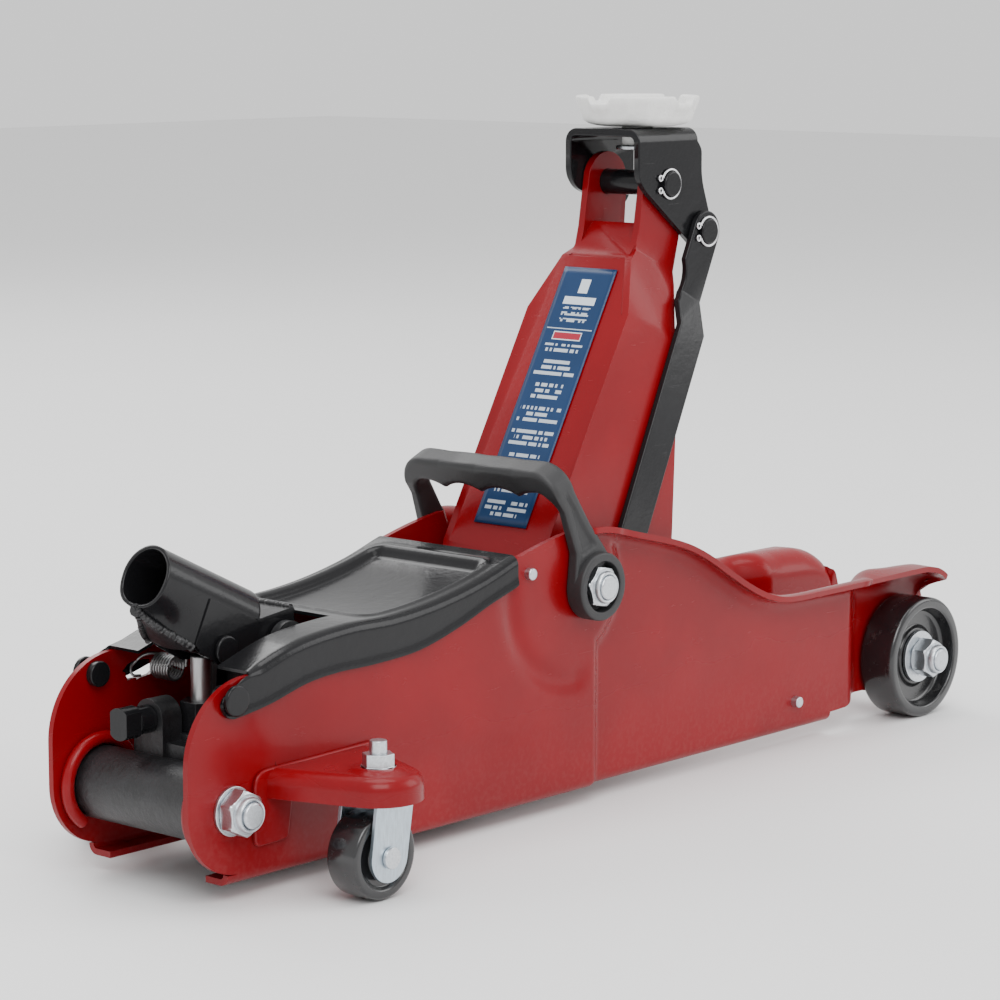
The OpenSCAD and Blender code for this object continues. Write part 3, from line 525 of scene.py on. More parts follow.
# ---------------------------------------------------------------- side plates
TOP_LINE = [(-233, 101.6), (-203, 110.5), (-170, 114), (-140, 114), (-110, 117), (-80, 123),
            (-54, 131), (-24, 138), (4, 141), (32, 135), (65, 126.5), (86, 118), (107, 106),
            (126, 95.5), (143, 88.5), (162, 85), (200, 84.6), (274.5, 85), (291.5, 84.2),
            (302, 81), (310, 74), (315.5, 60)]
TAIL_TOP = (-233.0, 64.1, 37.5)  # X, Z and radius of the plate's corner arcs
TAIL_LOW = (-240.0, 43.5, 30.5)
TOE_LOW = (288.5, 36.0, 27.0)
TOE_LENGTH = 15.5
HEM_Z = 8.0
HEM_IN = 31.6
HEM_BEND = 5.0
HEM_ENDS = (-247.001, 214.0)


def plate_top(x):
    """Height of the plate's upper line."""
    arc = TAIL_TOP[1] + np.sqrt(np.clip(TAIL_TOP[2] ** 2 - (x - TAIL_TOP[0]) ** 2, 0, None))
    return np.where(x < TAIL_TOP[0], arc, curve_z(TOP_LINE, x))


def plate_bottom(x):
    """Height of the wall's lower line."""
    tail = TAIL_LOW[1] - np.sqrt(np.clip(TAIL_LOW[2] ** 2 - (x - TAIL_LOW[0]) ** 2, 0, None))
    toe = TOE_LOW[1] - np.sqrt(np.clip(TOE_LOW[2] ** 2 - (x - TOE_LOW[0]) ** 2, 0, None))
    low = np.interp(x, [-240, 214, 226, 240, 258, 275, 288.5], [13, 13, 13.4, 16.6, 16.2, 13, 9])
    return np.where(x < TAIL_LOW[0], tail, np.where(x > TOE_LOW[0], toe, low))


def plate_face(x, z):
    """Outer face of the pressed wall: wide rear panel, stepped middle, joggled toe, round boss
    and valley about the pivot, and two shallow press marks."""
    rear = 1 - step(x, 5.5, 13.5)
    away = np.hypot(x + 10, z - 112)
    boss = 1 - step(away, 31, 42)
    half = MID_HALF + (REAR_HALF - MID_HALF) * np.maximum(rear, boss)
    half = half - (MID_HALF - NOSE_HALF) * step(x, 227, 251.5)
    valley = 1.5 * np.exp(-((away - 47) / 5.5) ** 2)
    valley = valley * (1 - step(x, -8, 4)) * (1 - step(z, 118, 134))
    mark = 1.0 * np.exp(-((x + 75) / 26) ** 2 - ((z - 40) / 9) ** 2)
    mark = mark + 0.7 * np.exp(-((x - 120) / 40) ** 2 - ((z - 48) / 16) ** 2)
    tail = 0.9 * np.exp(-((x + 205) / 22) ** 2 - ((z - 78) / 10) ** 2)
    return half - valley - mark - tail


def plate_columns():
    """X of the plate's columns, closest together at its two ends and about the pivot."""
    tail = TAIL_X + TAIL_TOP[2] * (1 - np.cos(np.linspace(0, np.pi / 2, 26)))
    toe = NOSE_X - TOE_LENGTH * (1 - np.cos(np.linspace(0, np.pi / 2, 16)))
    x = np.concatenate([tail, np.linspace(-247, -240, 6), np.linspace(-233, -62, 62),
                        np.linspace(-62, 24, 74), np.linspace(24, 222, 80),
                        np.linspace(222, 256, 40), np.linspace(256, 300, 24), toe])
    x = np.unique(np.round(x, 4))
    return x[np.r_[True, np.diff(x) > 0.02]]


def side_plate(thick):
    """Right-hand plate: wall from the bottom line up, then a fillet turning out into a flange
    that slopes to its edge, and a hem curled in along the bottom. Each is the sheet's outer or
    lower face. Where turn_out is 0 the fillet and flange shrink to the wall's cut edge."""
    x = plate_columns()[:, None]
    turn_out = step(x, -9, -1) * (1 - step(x, 306, 312))
    slope = np.radians(np.interp(x, [90, 165, 240, 300], [0, 16, 16, 0]))
    radius = np.interp(x, [0, 60, 150, 225, 262], [6.5, 8, 8, 9, 13])
    sweep_end = (np.pi / 2 + slope) * turn_out
    top_half = plate_face(x, plate_top(x) - 12)
    reach = top_half + radius * (1 - np.cos(sweep_end))
    lip = np.maximum((FLANGE_HALF - reach) / np.cos(slope), 0.3) * turn_out
    wall_top = plate_top(x) - (radius + thick) * np.sin(sweep_end) - np.cos(sweep_end) * lip
    v = np.linspace(0, 1, 60)[None, :]
    low = plate_bottom(x)
    z_wall = low + (wall_top - low) * v
    y_wall = plate_face(x, z_wall)
    f = np.linspace(0, 1, 12)[None, 1:]
    y_arc = y_wall[:, -1:] + radius * (1 - np.cos(sweep_end * f))
    z_arc = wall_top + radius * np.sin(sweep_end * f)
    g = np.linspace(0, 1, 7)[None, 1:]
    y_lip = y_arc[:, -1:] + np.sin(sweep_end) * lip * g
    z_lip = z_arc[:, -1:] + np.cos(sweep_end) * lip * g
    y = np.concatenate([y_wall, y_arc, y_lip], 1)
    z = np.concatenate([z_wall, z_arc, z_lip], 1)
    wall = strip(np.stack([x + 0 * y, -y, z], -1))
    hem_x = x[(x[:, 0] >= HEM_ENDS[0]) & (x[:, 0] <= HEM_ENDS[1])]
    half = plate_face(hem_x, HEM_Z + HEM_BEND + 0 * hem_x)
    inner = HEM_IN + (half - HEM_BEND - HEM_IN) * np.linspace(0, 1, 8)[None, :-1]
    bend = np.linspace(0, np.pi / 2, 8)[None, :]
    y_hem = np.concatenate([inner, half - HEM_BEND + HEM_BEND * np.sin(bend)], 1)
    z_hem = np.concatenate([HEM_Z + 0 * inner,
                            HEM_Z + HEM_BEND - HEM_BEND * np.cos(bend) + 0 * half], 1)
    hem = strip(np.stack([hem_x + 0 * y_hem, -y_hem, z_hem], -1))
    return [wall, hem]


def with_slot(part, x, z, half_length, radius):
    """Opens a round-ended slot through one side: faces inside it go, and the points left inside
    are pushed along the shortest way out to its edge."""
    points, faces = part
    points = points.copy()

    def inside(p):
        near = np.clip(p[:, 0], x - half_length, x + half_length)
        away = np.stack([p[:, 0] - near, p[:, 2] - z], -1)
        return np.linalg.norm(away, axis=1), away

    distance, _ = inside(points[np.array(faces)].mean(1))
    kept = [face for face, d in zip(faces, distance) if d > radius]
    used = np.unique(np.array(kept))
    d, away = inside(points[used])
    pushed = used[d < radius]
    scale = (radius / np.maximum(d[d < radius], 0.05))[:, None] - 1
    points[pushed[:, None], [0, 2]] += away[d < radius] * scale
    return points, kept


# ---------------------------------------------------------------- castor shelves and nuts
def castor_shelf():
    """Right-hand castor shelf: a plan outline of two tangents and an arc carried up a rim, over a
    rounded shoulder and in to the plate, with a low dome round the stud."""
    radius, rim_low, top, shoulder = 20.5, 45.0, 58.0, 6.5
    centre = np.array([SWIVEL_PIN, CASTOR_Y])
    ends = np.array([[-34.5, REAR_HALF - CASTOR_Y], [37.5, REAR_HALF - CASTOR_Y]])
    reach = np.hypot(ends[:, 0], ends[:, 1])
    base = np.arctan2(ends[:, 1], ends[:, 0])
    touch = np.array([base[0] + 2 * np.pi - np.arccos(radius / reach[0]),
                      base[1] + np.arccos(radius / reach[1])])
    angle = np.linspace(touch[0], touch[1], 56)
    arc = radius * np.stack([np.cos(angle), np.sin(angle)], -1)
    t = np.linspace(0, 1, 14)[:, None]
    outline = np.concatenate([ends[0] + (arc[0] - ends[0]) * t[:-1], arc,
                              arc[-1] + (ends[1] - arc[-1]) * t[1:]])
    run = np.gradient(outline, axis=0)
    run /= np.linalg.norm(run, axis=1)[:, None]
    inward = np.stack([run[:, 1], -run[:, 0]], -1)
    goal = np.stack([np.linspace(-26, 29, len(outline)), 0 * outline[:, 0]
                     + REAR_HALF - CASTOR_Y], -1)
    wall = np.linspace(0, 1, 7)[None, :, None]
    flat = np.repeat(outline[:, None], 7, 1)
    z_wall = rim_low + (top - shoulder - rim_low) * np.repeat(wall[..., 0], len(outline), 0)
    bend = np.linspace(0, np.pi / 2, 8)[None, 1:, None]
    over = outline[:, None] + inward[:, None] * shoulder * (1 - np.cos(bend))
    z_over = top - shoulder + shoulder * np.sin(bend[..., 0]) + 0 * over[..., 0]
    s = np.linspace(0, 1, 22)[None, 1:, None]
    plan = over[:, -1:] * (1 - s) + goal[:, None] * s
    dome = 1.6 * (1 - step(np.linalg.norm(plan, axis=2), 9, 15))
    z_plan = top + dome
    plan = np.concatenate([flat, over, plan], 1) + centre
    z = np.concatenate([z_wall, z_over, z_plan], 1)
    return strip(np.stack([plan[..., 0], -plan[..., 1], z], -1))


def castor_plate():
    """Outline of the shelf's back plate against the side plate."""
    x = SWIVEL_PIN
    return fillet([(x - 41, 58), (x + 38, 59.6), (x + 40, 45), (x - 17, 44.4), (x - 20, 24),
                   (x - 41, 23.5)], [9, 2, 3, 5, 3, 4], 7)


def nut(centre_x, centre_z, y_in, y_out, turn):
    """Locking nut along Y: hexagon radius cut by a 30 degree cone, then a rounded collar."""
    flats, bore, collar = 19.0, 6.05, 0.28
    angle = np.linspace(0, 2 * np.pi, 144, endpoint=False)[:, None]
    sector = (angle + turn) % (np.pi / 3) - np.pi / 6
    hexagon = flats / 2 / np.cos(sector)
    tall = y_out - y_in
    body = tall * (1 - collar)
    k = np.linspace(0, 1, 9)[None, :]
    rise = np.array([0, 0.25, 0.6, 1.2])[None, :]
    cone_low = flats / 2 * 0.97 + rise / np.tan(np.radians(30))
    low_r, low_h = np.minimum(hexagon, cone_low), rise + 0 * hexagon
    high_r, high_h = np.minimum(hexagon, cone_low[:, ::-1]), body - rise[:, ::-1] + 0 * hexagon
    ring = flats / 2 * 0.86
    collar_h = tall - body
    round_r = ring - (ring - bore - 0.9) * (1 - np.cos(k * np.pi / 2)) * 0.75
    round_h = body + collar_h * np.sin(k * np.pi / 2)
    r = np.concatenate([bore + 0 * hexagon, low_r, high_r, round_r + 0 * hexagon,
                        bore + 0.5 + 0 * hexagon, bore + 0 * hexagon], 1)
    h = np.concatenate([0 * hexagon, low_h, high_h, round_h + 0 * hexagon,
                        tall - 0.2 + 0 * hexagon, tall - 0.9 + 0 * hexagon], 1)
    points = np.stack([centre_x + r * np.cos(angle), y_in + h, centre_z + r * np.sin(angle)], -1)
    return strip(points, around=True, along=True)


# ---------------------------------------------------------------- carry handle
def rounded_section(inside, outside, low, high, corner, sink):
    """Sections between an inner and an outer boundary line of a plane (Y, up the lean) and two
    depths across it: each is a rectangle with round corners, sunk along its outer side."""
    side, edge = np.linspace(-1, 1, 17), np.linspace(0, np.pi / 2, 6)
    short = np.linspace(1, -1, 9)
    one = np.ones
    sx = np.concatenate([one(17), one(4), short, -one(4), -one(9), -one(4), -short, one(4)])
    sy = np.concatenate([side, one(4), one(9), one(4), short, -one(4), -one(9), -one(4)])
    angle = np.concatenate([0 * side] + [turn + part for turn, part in (
        (0, edge[1:-1]), (np.pi / 2, 0 * short), (np.pi / 2, edge[1:-1]), (np.pi, 0 * short),
        (np.pi, edge[1:-1]), (3 * np.pi / 2, 0 * short), (3 * np.pi / 2, edge[1:-1]))])
    centre, half = (inside + outside) / 2, (outside - inside) / 2
    wide = np.linalg.norm(half, axis=1)[:, None]
    r = np.minimum(0.45 * wide, corner)
    across = sx * (wide - r) + r * np.cos(angle)
    height = centre[:, 1:] + half[:, 1:] / wide * across
    across = across - sink(height, sy) * (angle == 0) * (sx > 0)
    y = centre[:, :1] + half[:, :1] / wide * across
    e = centre[:, 1:] + half[:, 1:] / wide * across
    middle_n, deep = (low(e) + high(e)) / 2, (high(e) - low(e)) / 2
    n = middle_n + sy * (deep - r) + r * np.sin(angle)
    return np.stack([y, e, n], -1)


def carry_grip(scallop):
    """Carry handle: sections carried from the legs over round corners to the grip. The inner
    line rises between the fingers as the size of a sine, and each leg is sunk outside."""
    leg_in, leg_out, end_y = REAR_HALF + 0.7, REAR_HALF + 7.3, REAR_HALF - 8.7
    top, low_line, pitch = 66.7, 50.7, 24.5
    angle = np.linspace(0, np.pi / 2, 30)[:, None]
    rise = np.linspace(0, 1, 50)[:, None]
    y = np.concatenate([np.linspace(end_y, pitch, 22), np.linspace(pitch, 0, 41)[1:]])[1:, None]
    fingers = low_line + scallop * np.abs(np.sin(np.pi * y / pitch)) ** 0.8
    last = low_line + scallop
    turn = np.concatenate([np.cos(angle), np.sin(angle)], 1)
    leg_line = np.concatenate([np.interp(rise, [0, 0.18, 1], [leg_out, leg_out, end_y + 14]),
                               8 + (top - 22) * rise], 1)
    outside = np.concatenate([leg_line, (turn * 14 + (end_y, top - 14))[1:],
                              np.concatenate([y, top + 0 * y], 1)])
    inside = np.concatenate([
        np.concatenate([leg_in + 0 * rise, 8 + (low_line - 16) * rise], 1),
        (turn * (leg_in - end_y, last - low_line + 8) + (end_y, low_line - 8))[1:],
        np.concatenate([y, fingers], 1)])
    inside, outside = [np.concatenate([line, line[-2::-1] * (-1, 1)])
                       for line in (inside, outside)]

    def front(e):
        return np.interp(e, [8, 22, 44.7, 52.7, 67], [-15, -7, -5.5, -7.5, -7.5])

    def rear(e):
        return np.interp(e, [8, 30, 50.7, 67], [14.5, 8.5, 5.5, 6.5])

    def sink(e, across):
        width = np.interp(e, [18, 52], [0.66, 0.25])
        return 2.0 * (1 - step(np.abs(across), width - 0.1, width + 0.1)) * step(
            e, 19, 22) * (1 - step(e, 50, 55))

    grid = rounded_section(inside, outside, front, rear, 3.6, sink)
    first, final = [np.repeat(grid[k:k + 1].mean(1, keepdims=True), grid.shape[1], 1)
                    for k in (0, -1)]
    y, e, n = np.moveaxis(np.concatenate([first, grid, final]), -1, 0)
    x = n * np.cos(LEAN) - e * np.sin(LEAN)
    z = PIVOT_Z + n * np.sin(LEAN) + e * np.cos(LEAN)
    return strip(np.stack([x, y, z], -1), around=True)


# ---------------------------------------------------------------- saddle
def saddle_bracket():
    """Saddle bracket: a sheet bent over the top as a U with round bends, and two cheeks; the
    right-hand cheek runs on to an ear round the link's pin."""
    half, thick, bend = 24.5, 3.8, 7.0
    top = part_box("saddle_bracket")[1][2] / MM
    x, z = PIN[0], PIN[2]
    arc = np.linspace(0, np.pi / 2, 10)

    def over(radius, side):
        return [(side * (half - bend + radius * np.cos(a)), top - bend + radius * np.sin(a))
                for a in (arc if side > 0 else arc[::-1])]

    section = np.array(over(bend, 1) + over(bend, -1) + over(bend - thick, -1)[::-1]
                       + over(bend - thick, 1)[::-1])
    count = len(section)
    back, fore = x - 24.5, x + 23.5
    points = np.concatenate([np.stack([np.full(count, where), section[:, 0], section[:, 1]], -1)
                             for where in (back, fore)])
    ring = np.arange(count)
    after = (ring + 1) % count
    faces = np.stack([ring, after, after + count, ring + count], -1).tolist()
    quarter = len(arc)
    for end in (0, count):
        outer, inner = np.arange(2 * quarter), 4 * quarter - 1 - np.arange(2 * quarter)
        across = np.stack([outer[:-1], outer[1:], inner[1:], inner[:-1]], -1)
        faces += (across + end).tolist()
    ear_x, ear_z = LINK_PIN[0], LINK_PIN[2]
    a = np.radians(np.linspace(30, -130, 28))
    ear = [(ear_x + 10 * np.cos(k), ear_z + 10 * np.sin(k)) for k in a]
    front = [(back, z + 4), (back, top - bend), (fore, top - bend),
             (fore + 3.5, top - bend - 4), (fore + 3.5, z + 2)]
    near = fillet(front + [(ear_x + 7, ear_z + 8)] + ear + [(x - 19, z - 3)],
                  [4, 0, 0, 3, 6, 0] + [0] * len(ear) + [5], 5)
    a = np.radians(np.linspace(-10, -90, 14))
    far = fillet(front + [(x + 12 + 13 * np.cos(k), z - 2 + 13 * np.sin(k)) for k in a]
                 + [(x - 19, z - 3)], [4, 0, 0, 3, 3] + [0] * len(a) + [5], 5)
    return [(points, faces), prism(near, -half, -half + thick), prism(far, half - thick, half)]


def saddle_pad():
    """Saddle: a revolved cup whose rim drops into four notches as the angle goes round."""
    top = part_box("saddle")[1][2] / MM
    base = top - 15.3
    # radius, height, and how far the notches pull each point down
    profile = np.array([(0, base - 9.8, 0), (7.8, base - 9.8, 0), (7.9, base - 0.2, 0),
                        (12, base, 0), (20, base, 0), (22.5, base + 0.4, 0), (25.6, base + 1.2, 0),
                        (27.6, base + 2.6, 0), (28.6, base + 4.6, 0.05), (29.4, base + 7.4, 0.2),
                        (30.6, base + 10, 0.55), (31.5, base + 12.4, 0.9), (31.9, top - 1.1, 1),
                        (31.5, top - 0.3, 1), (30.6, top, 1), (28.8, top, 1), (27.9, top - 0.4, 1),
                        (27.2, top - 1.4, 1), (26.6, base + 10.2, 0.5), (25.8, base + 8.7, 0.15),
                        (24.4, base + 8.1, 0), (21, base + 8.0, 0), (20.4, base + 7.5, 0),
                        (18.6, base + 7.5, 0), (18, base + 8, 0), (10, base + 8, 0),
                        (6.5, base + 7.7, 0), (4.8, base + 6.4, 0), (0, base + 6.2, 0)])
    angle = np.linspace(0, 2 * np.pi, 240, endpoint=False)[:, None]
    off = np.abs((angle + np.pi / 4) % (np.pi / 2) - np.pi / 4)
    notch = 1 - step(off, np.radians(9), np.radians(14))
    r = profile[None, :, 0] + 0 * angle
    z = profile[None, :, 1] - 3.4 * notch * profile[None, :, 2]
    points = np.stack([SADDLE[0] + r * np.cos(angle), r * np.sin(angle), z], -1)
    return strip(points, along=True)


# ---------------------------------------------------------------- socket, clips and spring
CHEEK_OUT, CHEEK_IN = 15.42, 13.1  # the socket's flat cheeks
SEAM = ([0, 14.8, 33.5], [-15.2, -20.4, -24.6])  # the weld under it: down the axis, height


def on_socket(d, h, y):
    """Points at a distance down the socket's axis, a height above it and a side offset."""
    c, s = np.cos(SOCKET_TILT), np.sin(SOCKET_TILT)
    return np.stack([MOUTH[0] + d * c + h * s, y + 0 * d, MOUTH[2] - d * s + h * c], -1)


def socket_shell():
    """Socket: a rolled tube whose lower half opens, by a smooth step along its axis, from a
    closed circle at the mouth to two flat cheeks; the cheeks run on to the pivot pin."""
    mid = 14.6
    d = np.concatenate([[0, 0.6], np.linspace(1.6, 62, 74)])[:, None]
    spread = step(d, 1, 30)
    foot = np.interp(d, [0, 14.8, 33.5, 49.7, 62], [-14.6, -20, -24.3, -25.4, -20.9])
    foot_y = 0.4 + (mid - 0.4) * spread
    theta = np.linspace(0, np.pi, 61)[None, :]
    arch_y, arch_h = mid * np.cos(theta) + 0 * d, mid * np.sin(theta) + 0 * d
    t = np.linspace(1, 0, 21)[None, :-1]
    mid_h = -mid * (1 - spread) + foot * 0.5 * spread
    side_y = (1 - t) ** 2 * mid + 2 * t * (1 - t) * mid + t ** 2 * foot_y
    side_h = 2 * t * (1 - t) * mid_h + t ** 2 * foot
    y = np.concatenate([side_y, arch_y, -side_y[:, ::-1]], 1)
    h = np.concatenate([side_h, arch_h, side_h[:, ::-1]], 1)
    along = d + 0 * y
    points = on_socket(along, h, y)
    points, faces = strip(points)
    flat_d, flat_y, flat_h = along.reshape(-1), y.reshape(-1), h.reshape(-1)
    index = np.array(faces)
    hole = np.hypot(flat_d[index].mean(1) - 12, flat_y[index].mean(1)) < 2.3
    hole &= flat_h[index].mean(1) > 0
    kept = index[~hole].tolist()
    return points, kept


def socket_cheek():
    """Flat front part of one cheek, drawn down the axis and across it."""
    d = [28, 33.5, 49.7, 66.5, 76.2, 83.5, 86.2, 79.6, 62, 28]
    h = [-21.6, -24.3, -25.4, -18.9, -8.8, -5.3, 2.6, 13.7, 0.5, 0.5]
    flat = on_socket(np.array(d), np.array(h), 0.0)
    return fillet(flat[:, [0, 2]], [0.5, 6, 8, 6, 5, 4, 5, 3, 0.5, 0.5], 6)


def circlip(x, z, y, side):
    """Open spring ring round a pin, with an eye at each of its two ends."""
    turn = np.radians(np.linspace(205, 515, 64))
    ring = np.stack([x + 7.35 * np.cos(turn), np.full(64, side * y), z + 7.35 * np.sin(turn)], -1)
    parts = [tube(ring, 0.75, 8)]
    loop = np.linspace(0, 2 * np.pi, 20)
    for end in (ring[0], ring[-1]):
        eye = end + np.array([-1.6, 0, 0])
        parts.append(tube(np.stack([eye[0] + 1.3 * np.cos(loop), eye[1] + 0 * loop,
                                    eye[2] + 1.3 * np.sin(loop)], -1), 0.6, 8))
    return parts


def coil_spring(turns):
    """Return spring: a helix along Y with a hook through the plate's slot and one on the pin."""
    x, z = PLUNGER[0] + 5, 93.0
    k = np.linspace(0, 1, 24 * turns)
    turn = 2 * np.pi * turns * k
    body = np.stack([x + 5.6 * np.cos(turn), 21.5 + 12.5 * k, z + 5.6 * np.sin(turn)], -1)
    hook = spline([body[-1], (x + 3.2, 37, z + 4.2), (x - 2, 40.5, z + 4.4), (x - 5.5, 44, z + 1),
                   (x - 6, 46.8, z - 2.4), (x - 5.6, 45.6, z - 5.6), (x - 4.6, 41.4, z - 5.4)], 60)
    tail = spline([(x - 8, 19.6, z + 8.5), (x - 2, 19.9, z + 10.5), (x + 4.6, 20.6, z + 6.6),
                   body[0]], 40)
    return tube(np.concatenate([tail[:-1], body, hook[1:]]), 0.72, 8, up=(0.31, 0.05, 0.95))


# ---------------------------------------------------------------- cover
COVER_LINE = [(-233, 103.6), (-203, 112.5), (-170, 116), (-140, 116), (-110, 119), (-80, 125),
              (-53.5, 133.2)]
SKIRT_LINE = [(-244, 84.2), (-235, 85.3), (-219.6, 88), (-198.6, 93.2), (-178.8, 95.2),
              (-153.6, 95.4), (-124.6, 97.4), (-98, 104), (-75, 112), (-57, 117.5), (-53.5, 119)]
SKIRT_HALF = 48.4
NOTCH_HALF = 26.0
NOTCH_X = -161.0
TRAY_X, TRAY_LONG, TRAY_HALF, TRAY_CORNER = -107.0, 43.0, 36.5, 6.0


def cover_half():
    """Half of the pressed cover: skirt, rounded shoulder and a top with a sunk tray."""
    x = np.concatenate([np.linspace(-250.6, -233, 18), np.linspace(-233, NOTCH_X, 52)[1:],
                        np.linspace(NOTCH_X, -53.5, 84)[1:]])[:, None]
    lobe = np.sqrt(np.clip(6.8 ** 2 - (x + 244) ** 2, 0, None))
    line = 103.6 + (x + 233) * (103.6 - 94.4) / 16.9
    top = np.where(x < -249.9, 91 + lobe, np.where(x < -233, line, curve_z(COVER_LINE, x)))
    low = np.where(x < -244, 91 - lobe, curve_z(SKIRT_LINE, x))
    shoulder = np.interp(x, [-240, -226], [0.5, 5.0])
    v = np.linspace(0, 1, 14)[None, :]
    z_skirt = low + (top - shoulder - low) * v
    flare = 0.6 * step(z_skirt - low, 5, 0)
    y_skirt = SKIRT_HALF + 0 * z_skirt - 0.6 + flare
    bend = np.linspace(0, np.pi / 2, 9)[None, 1:]
    y_bend = SKIRT_HALF - 0.6 - shoulder * (1 - np.cos(bend))
    z_bend = top - shoulder + shoulder * np.sin(bend)
    outer = y_bend[:, -1:] + (NOTCH_HALF - y_bend[:, -1:]) * np.linspace(0, 1, 20)[None, 1:]
    inner = NOTCH_HALF * (1 - np.linspace(0, 1, 22)[None, 1:]) + 0 * x
    y_top = np.concatenate([outer, inner], 1)
    along, across = np.abs(x - TRAY_X), np.abs(y_top)
    straight = np.maximum(along - TRAY_LONG, across - TRAY_HALF)
    past_x, past_y = along - TRAY_LONG + TRAY_CORNER, across - TRAY_HALF + TRAY_CORNER
    corner = np.hypot(np.maximum(past_x, 0), np.maximum(past_y, 0)) - TRAY_CORNER
    edge = np.where((past_x > 0) & (past_y > 0), corner, straight)
    tray = -3.2 * (1 - step(edge, -3.2, 0.0))
    ridge = 0.9 * np.exp(-((edge - 2.2) / 1.8) ** 2)
    z_top = top + (tray + ridge) * step(x, -166, -158)
    y = np.concatenate([y_skirt, y_bend, y_top], 1)
    z = np.concatenate([z_skirt, z_bend, z_top], 1)
    points, faces = strip(np.stack([x + 0 * y, y, z], -1))
    centre = points[np.array(faces)].mean(1)
    cut = ((centre[:, 0] < NOTCH_X) & (centre[:, 1] < NOTCH_HALF)) | (
        (centre[:, 0] < -233) & (centre[:, 1] < SKIRT_HALF - 1.4))
    return points, [face for face, gone in zip(faces, cut) if not gone]


def panel_ends():
    """Foot and head of the printed panel on the web's rear face."""
    ends = [PIVOT_Z + 26, PIN[2] - 42.7]
    return [np.array([(z - PIVOT_Z - 25.8) / np.tan(WEB_LEAN) - 12.6, 0, z]) for z in ends]


# ---------------------------------------------------------------- add-on
class JackFinishSettings(bpy.types.PropertyGroup):
    """Colours of the jack's finishes."""

    red: bpy.props.FloatVectorProperty(name="Paint", description="Gloss paint of the frame",
                                       subtype="COLOR", size=3, default=(0.20, 0.0018, 0.005))
    black: bpy.props.FloatVectorProperty(name="Black paint",
                                         description="Gloss paint of the fittings",
                                         subtype="COLOR", size=3, default=(0.008, 0.008, 0.009))
    zinc: bpy.props.FloatVectorProperty(name="Zinc", description="Plating of nuts and forks",
                                        subtype="COLOR", size=3, default=(0.66, 0.69, 0.72))
    pale: bpy.props.FloatVectorProperty(name="Saddle coat", description="Powder coat of the saddle",
                                        subtype="COLOR", size=3, default=(0.80, 0.80, 0.78))
    panel: bpy.props.FloatVectorProperty(name="Panel",
                                         description="Ground colour of the printed panel",
                                         subtype="COLOR", size=3, default=(0.007, 0.033, 0.10))


class JackSizeSettings(bpy.types.PropertyGroup):
    """Sizes of the finishing detail."""

    plate: bpy.props.FloatProperty(name="Plate", description="Thickness of the side plates in mm",
                                   default=3.0, min=1.5, max=5.0)
    cover: bpy.props.FloatProperty(name="Cover", description="Thickness of the cover in mm",
                                   default=1.6, min=0.8, max=3.0)
    edge: bpy.props.FloatProperty(name="Edge", description="Rounding of cut edges in mm",
                                  default=0.7, min=0.1, max=2.0)
    dip: bpy.props.FloatProperty(name="Finger dips", description="Depth of the grip's dips in mm",
                                 default=3.8, min=0.0, max=6.0)
    coils: bpy.props.IntProperty(name="Coils", description="Turns of the return spring",
                                 default=7, min=4, max=20)
    floor: bpy.props.FloatProperty(name="Floor", description="Width of the stage floor in metres",
                                   default=14.0, min=2.0, max=40.0)


FINISHES = {}


def finishes():
    """Each finish is made once and shared."""
    if not FINISHES:
        c = bpy.context.scene.jack_finish
        FINISHES.update(
            red=gloss_paint("red_gloss_paint", c.red, 0.26, 0.08, 0.1, dust=0.04),
            black=gloss_paint("black_gloss_paint", c.black, 0.22, 0.12, 0.2, 0.03, 0.1),
            cast=cast_skin("black_casting", c.black, 0.42, 0.35),
            zinc=plated("zinc_plate", c.zinc, 0.32),
            fork=plated("blue_zinc_sheet", (0.56, 0.64, 0.70), 0.36, (1, 1, 0.15), blotch=0.8),
            steel=plated("bright_steel", (0.42, 0.42, 0.42), 0.34, (1, 1, 0.1)),
            clip=plated("bright_clip", (0.75, 0.75, 0.76), 0.22),
            wheel=nylon("black_nylon", (0.010, 0.010, 0.011), 0.20),
            plastic=grained_plastic("black_plastic", (0.017, 0.017, 0.018), 0.46),
            pale=powder_coat("pale_powder_coat", c.pale, 0.5),
            rubber=grained_plastic("seal_rubber", (0.012, 0.012, 0.012), 0.6),
            print=printed_panel("printed_film", c.panel, (0.62, 0.68, 0.74), (0.34, 0.02, 0.04)))
    return FINISHES


class JackBuilder(bpy.types.Operator):
    """Shared start of the jack's operators."""

    bl_idname = "jack.builder"
    bl_label = "Jack"

    @property
    def paint(self):
        """The finishes by name."""
        return finishes()

    @property
    def sizes(self):
        """The scene's size settings."""
        return bpy.context.scene.jack_sizes


class JackSidePlates(JackBuilder):
    """Presses the two side plates with their flanges, joggles and hems."""

    bl_idname = "jack.side_plates"
    bl_label = "Side plates"

    def execute(self, context):
        right = side_plate(self.sizes.plate)
        wall, hem = [mirrored(part) for part in right]
        left = [with_slot(wall, PLUNGER[0] + 1, 90.5, 5, 4), hem]
        for side, parts in (("right", right), ("left", left)):
            make("plate_" + side, parts, self.paint["red"], "chassis",
                 ("side_plate_" + side,), thick=self.sizes.plate, bevel=self.sizes.edge,
                 outward=False, sharp=60)
        return {"FINISHED"}


class JackCover(JackBuilder):
    """Presses the black cover with its skirts, tray and rear notch."""

    bl_idname = "jack.cover"
    bl_label = "Cover"

    def execute(self, context):
        half = cover_half()
        make("cover_pressing", [mirrored(half), half], self.paint["black"], "chassis",
             ("cover",), thick=self.sizes.cover, bevel=0.4, sharp=60)
        refined("cover_studs", self.paint["black"], "chassis", 0.8)
        return {"FINISHED"}


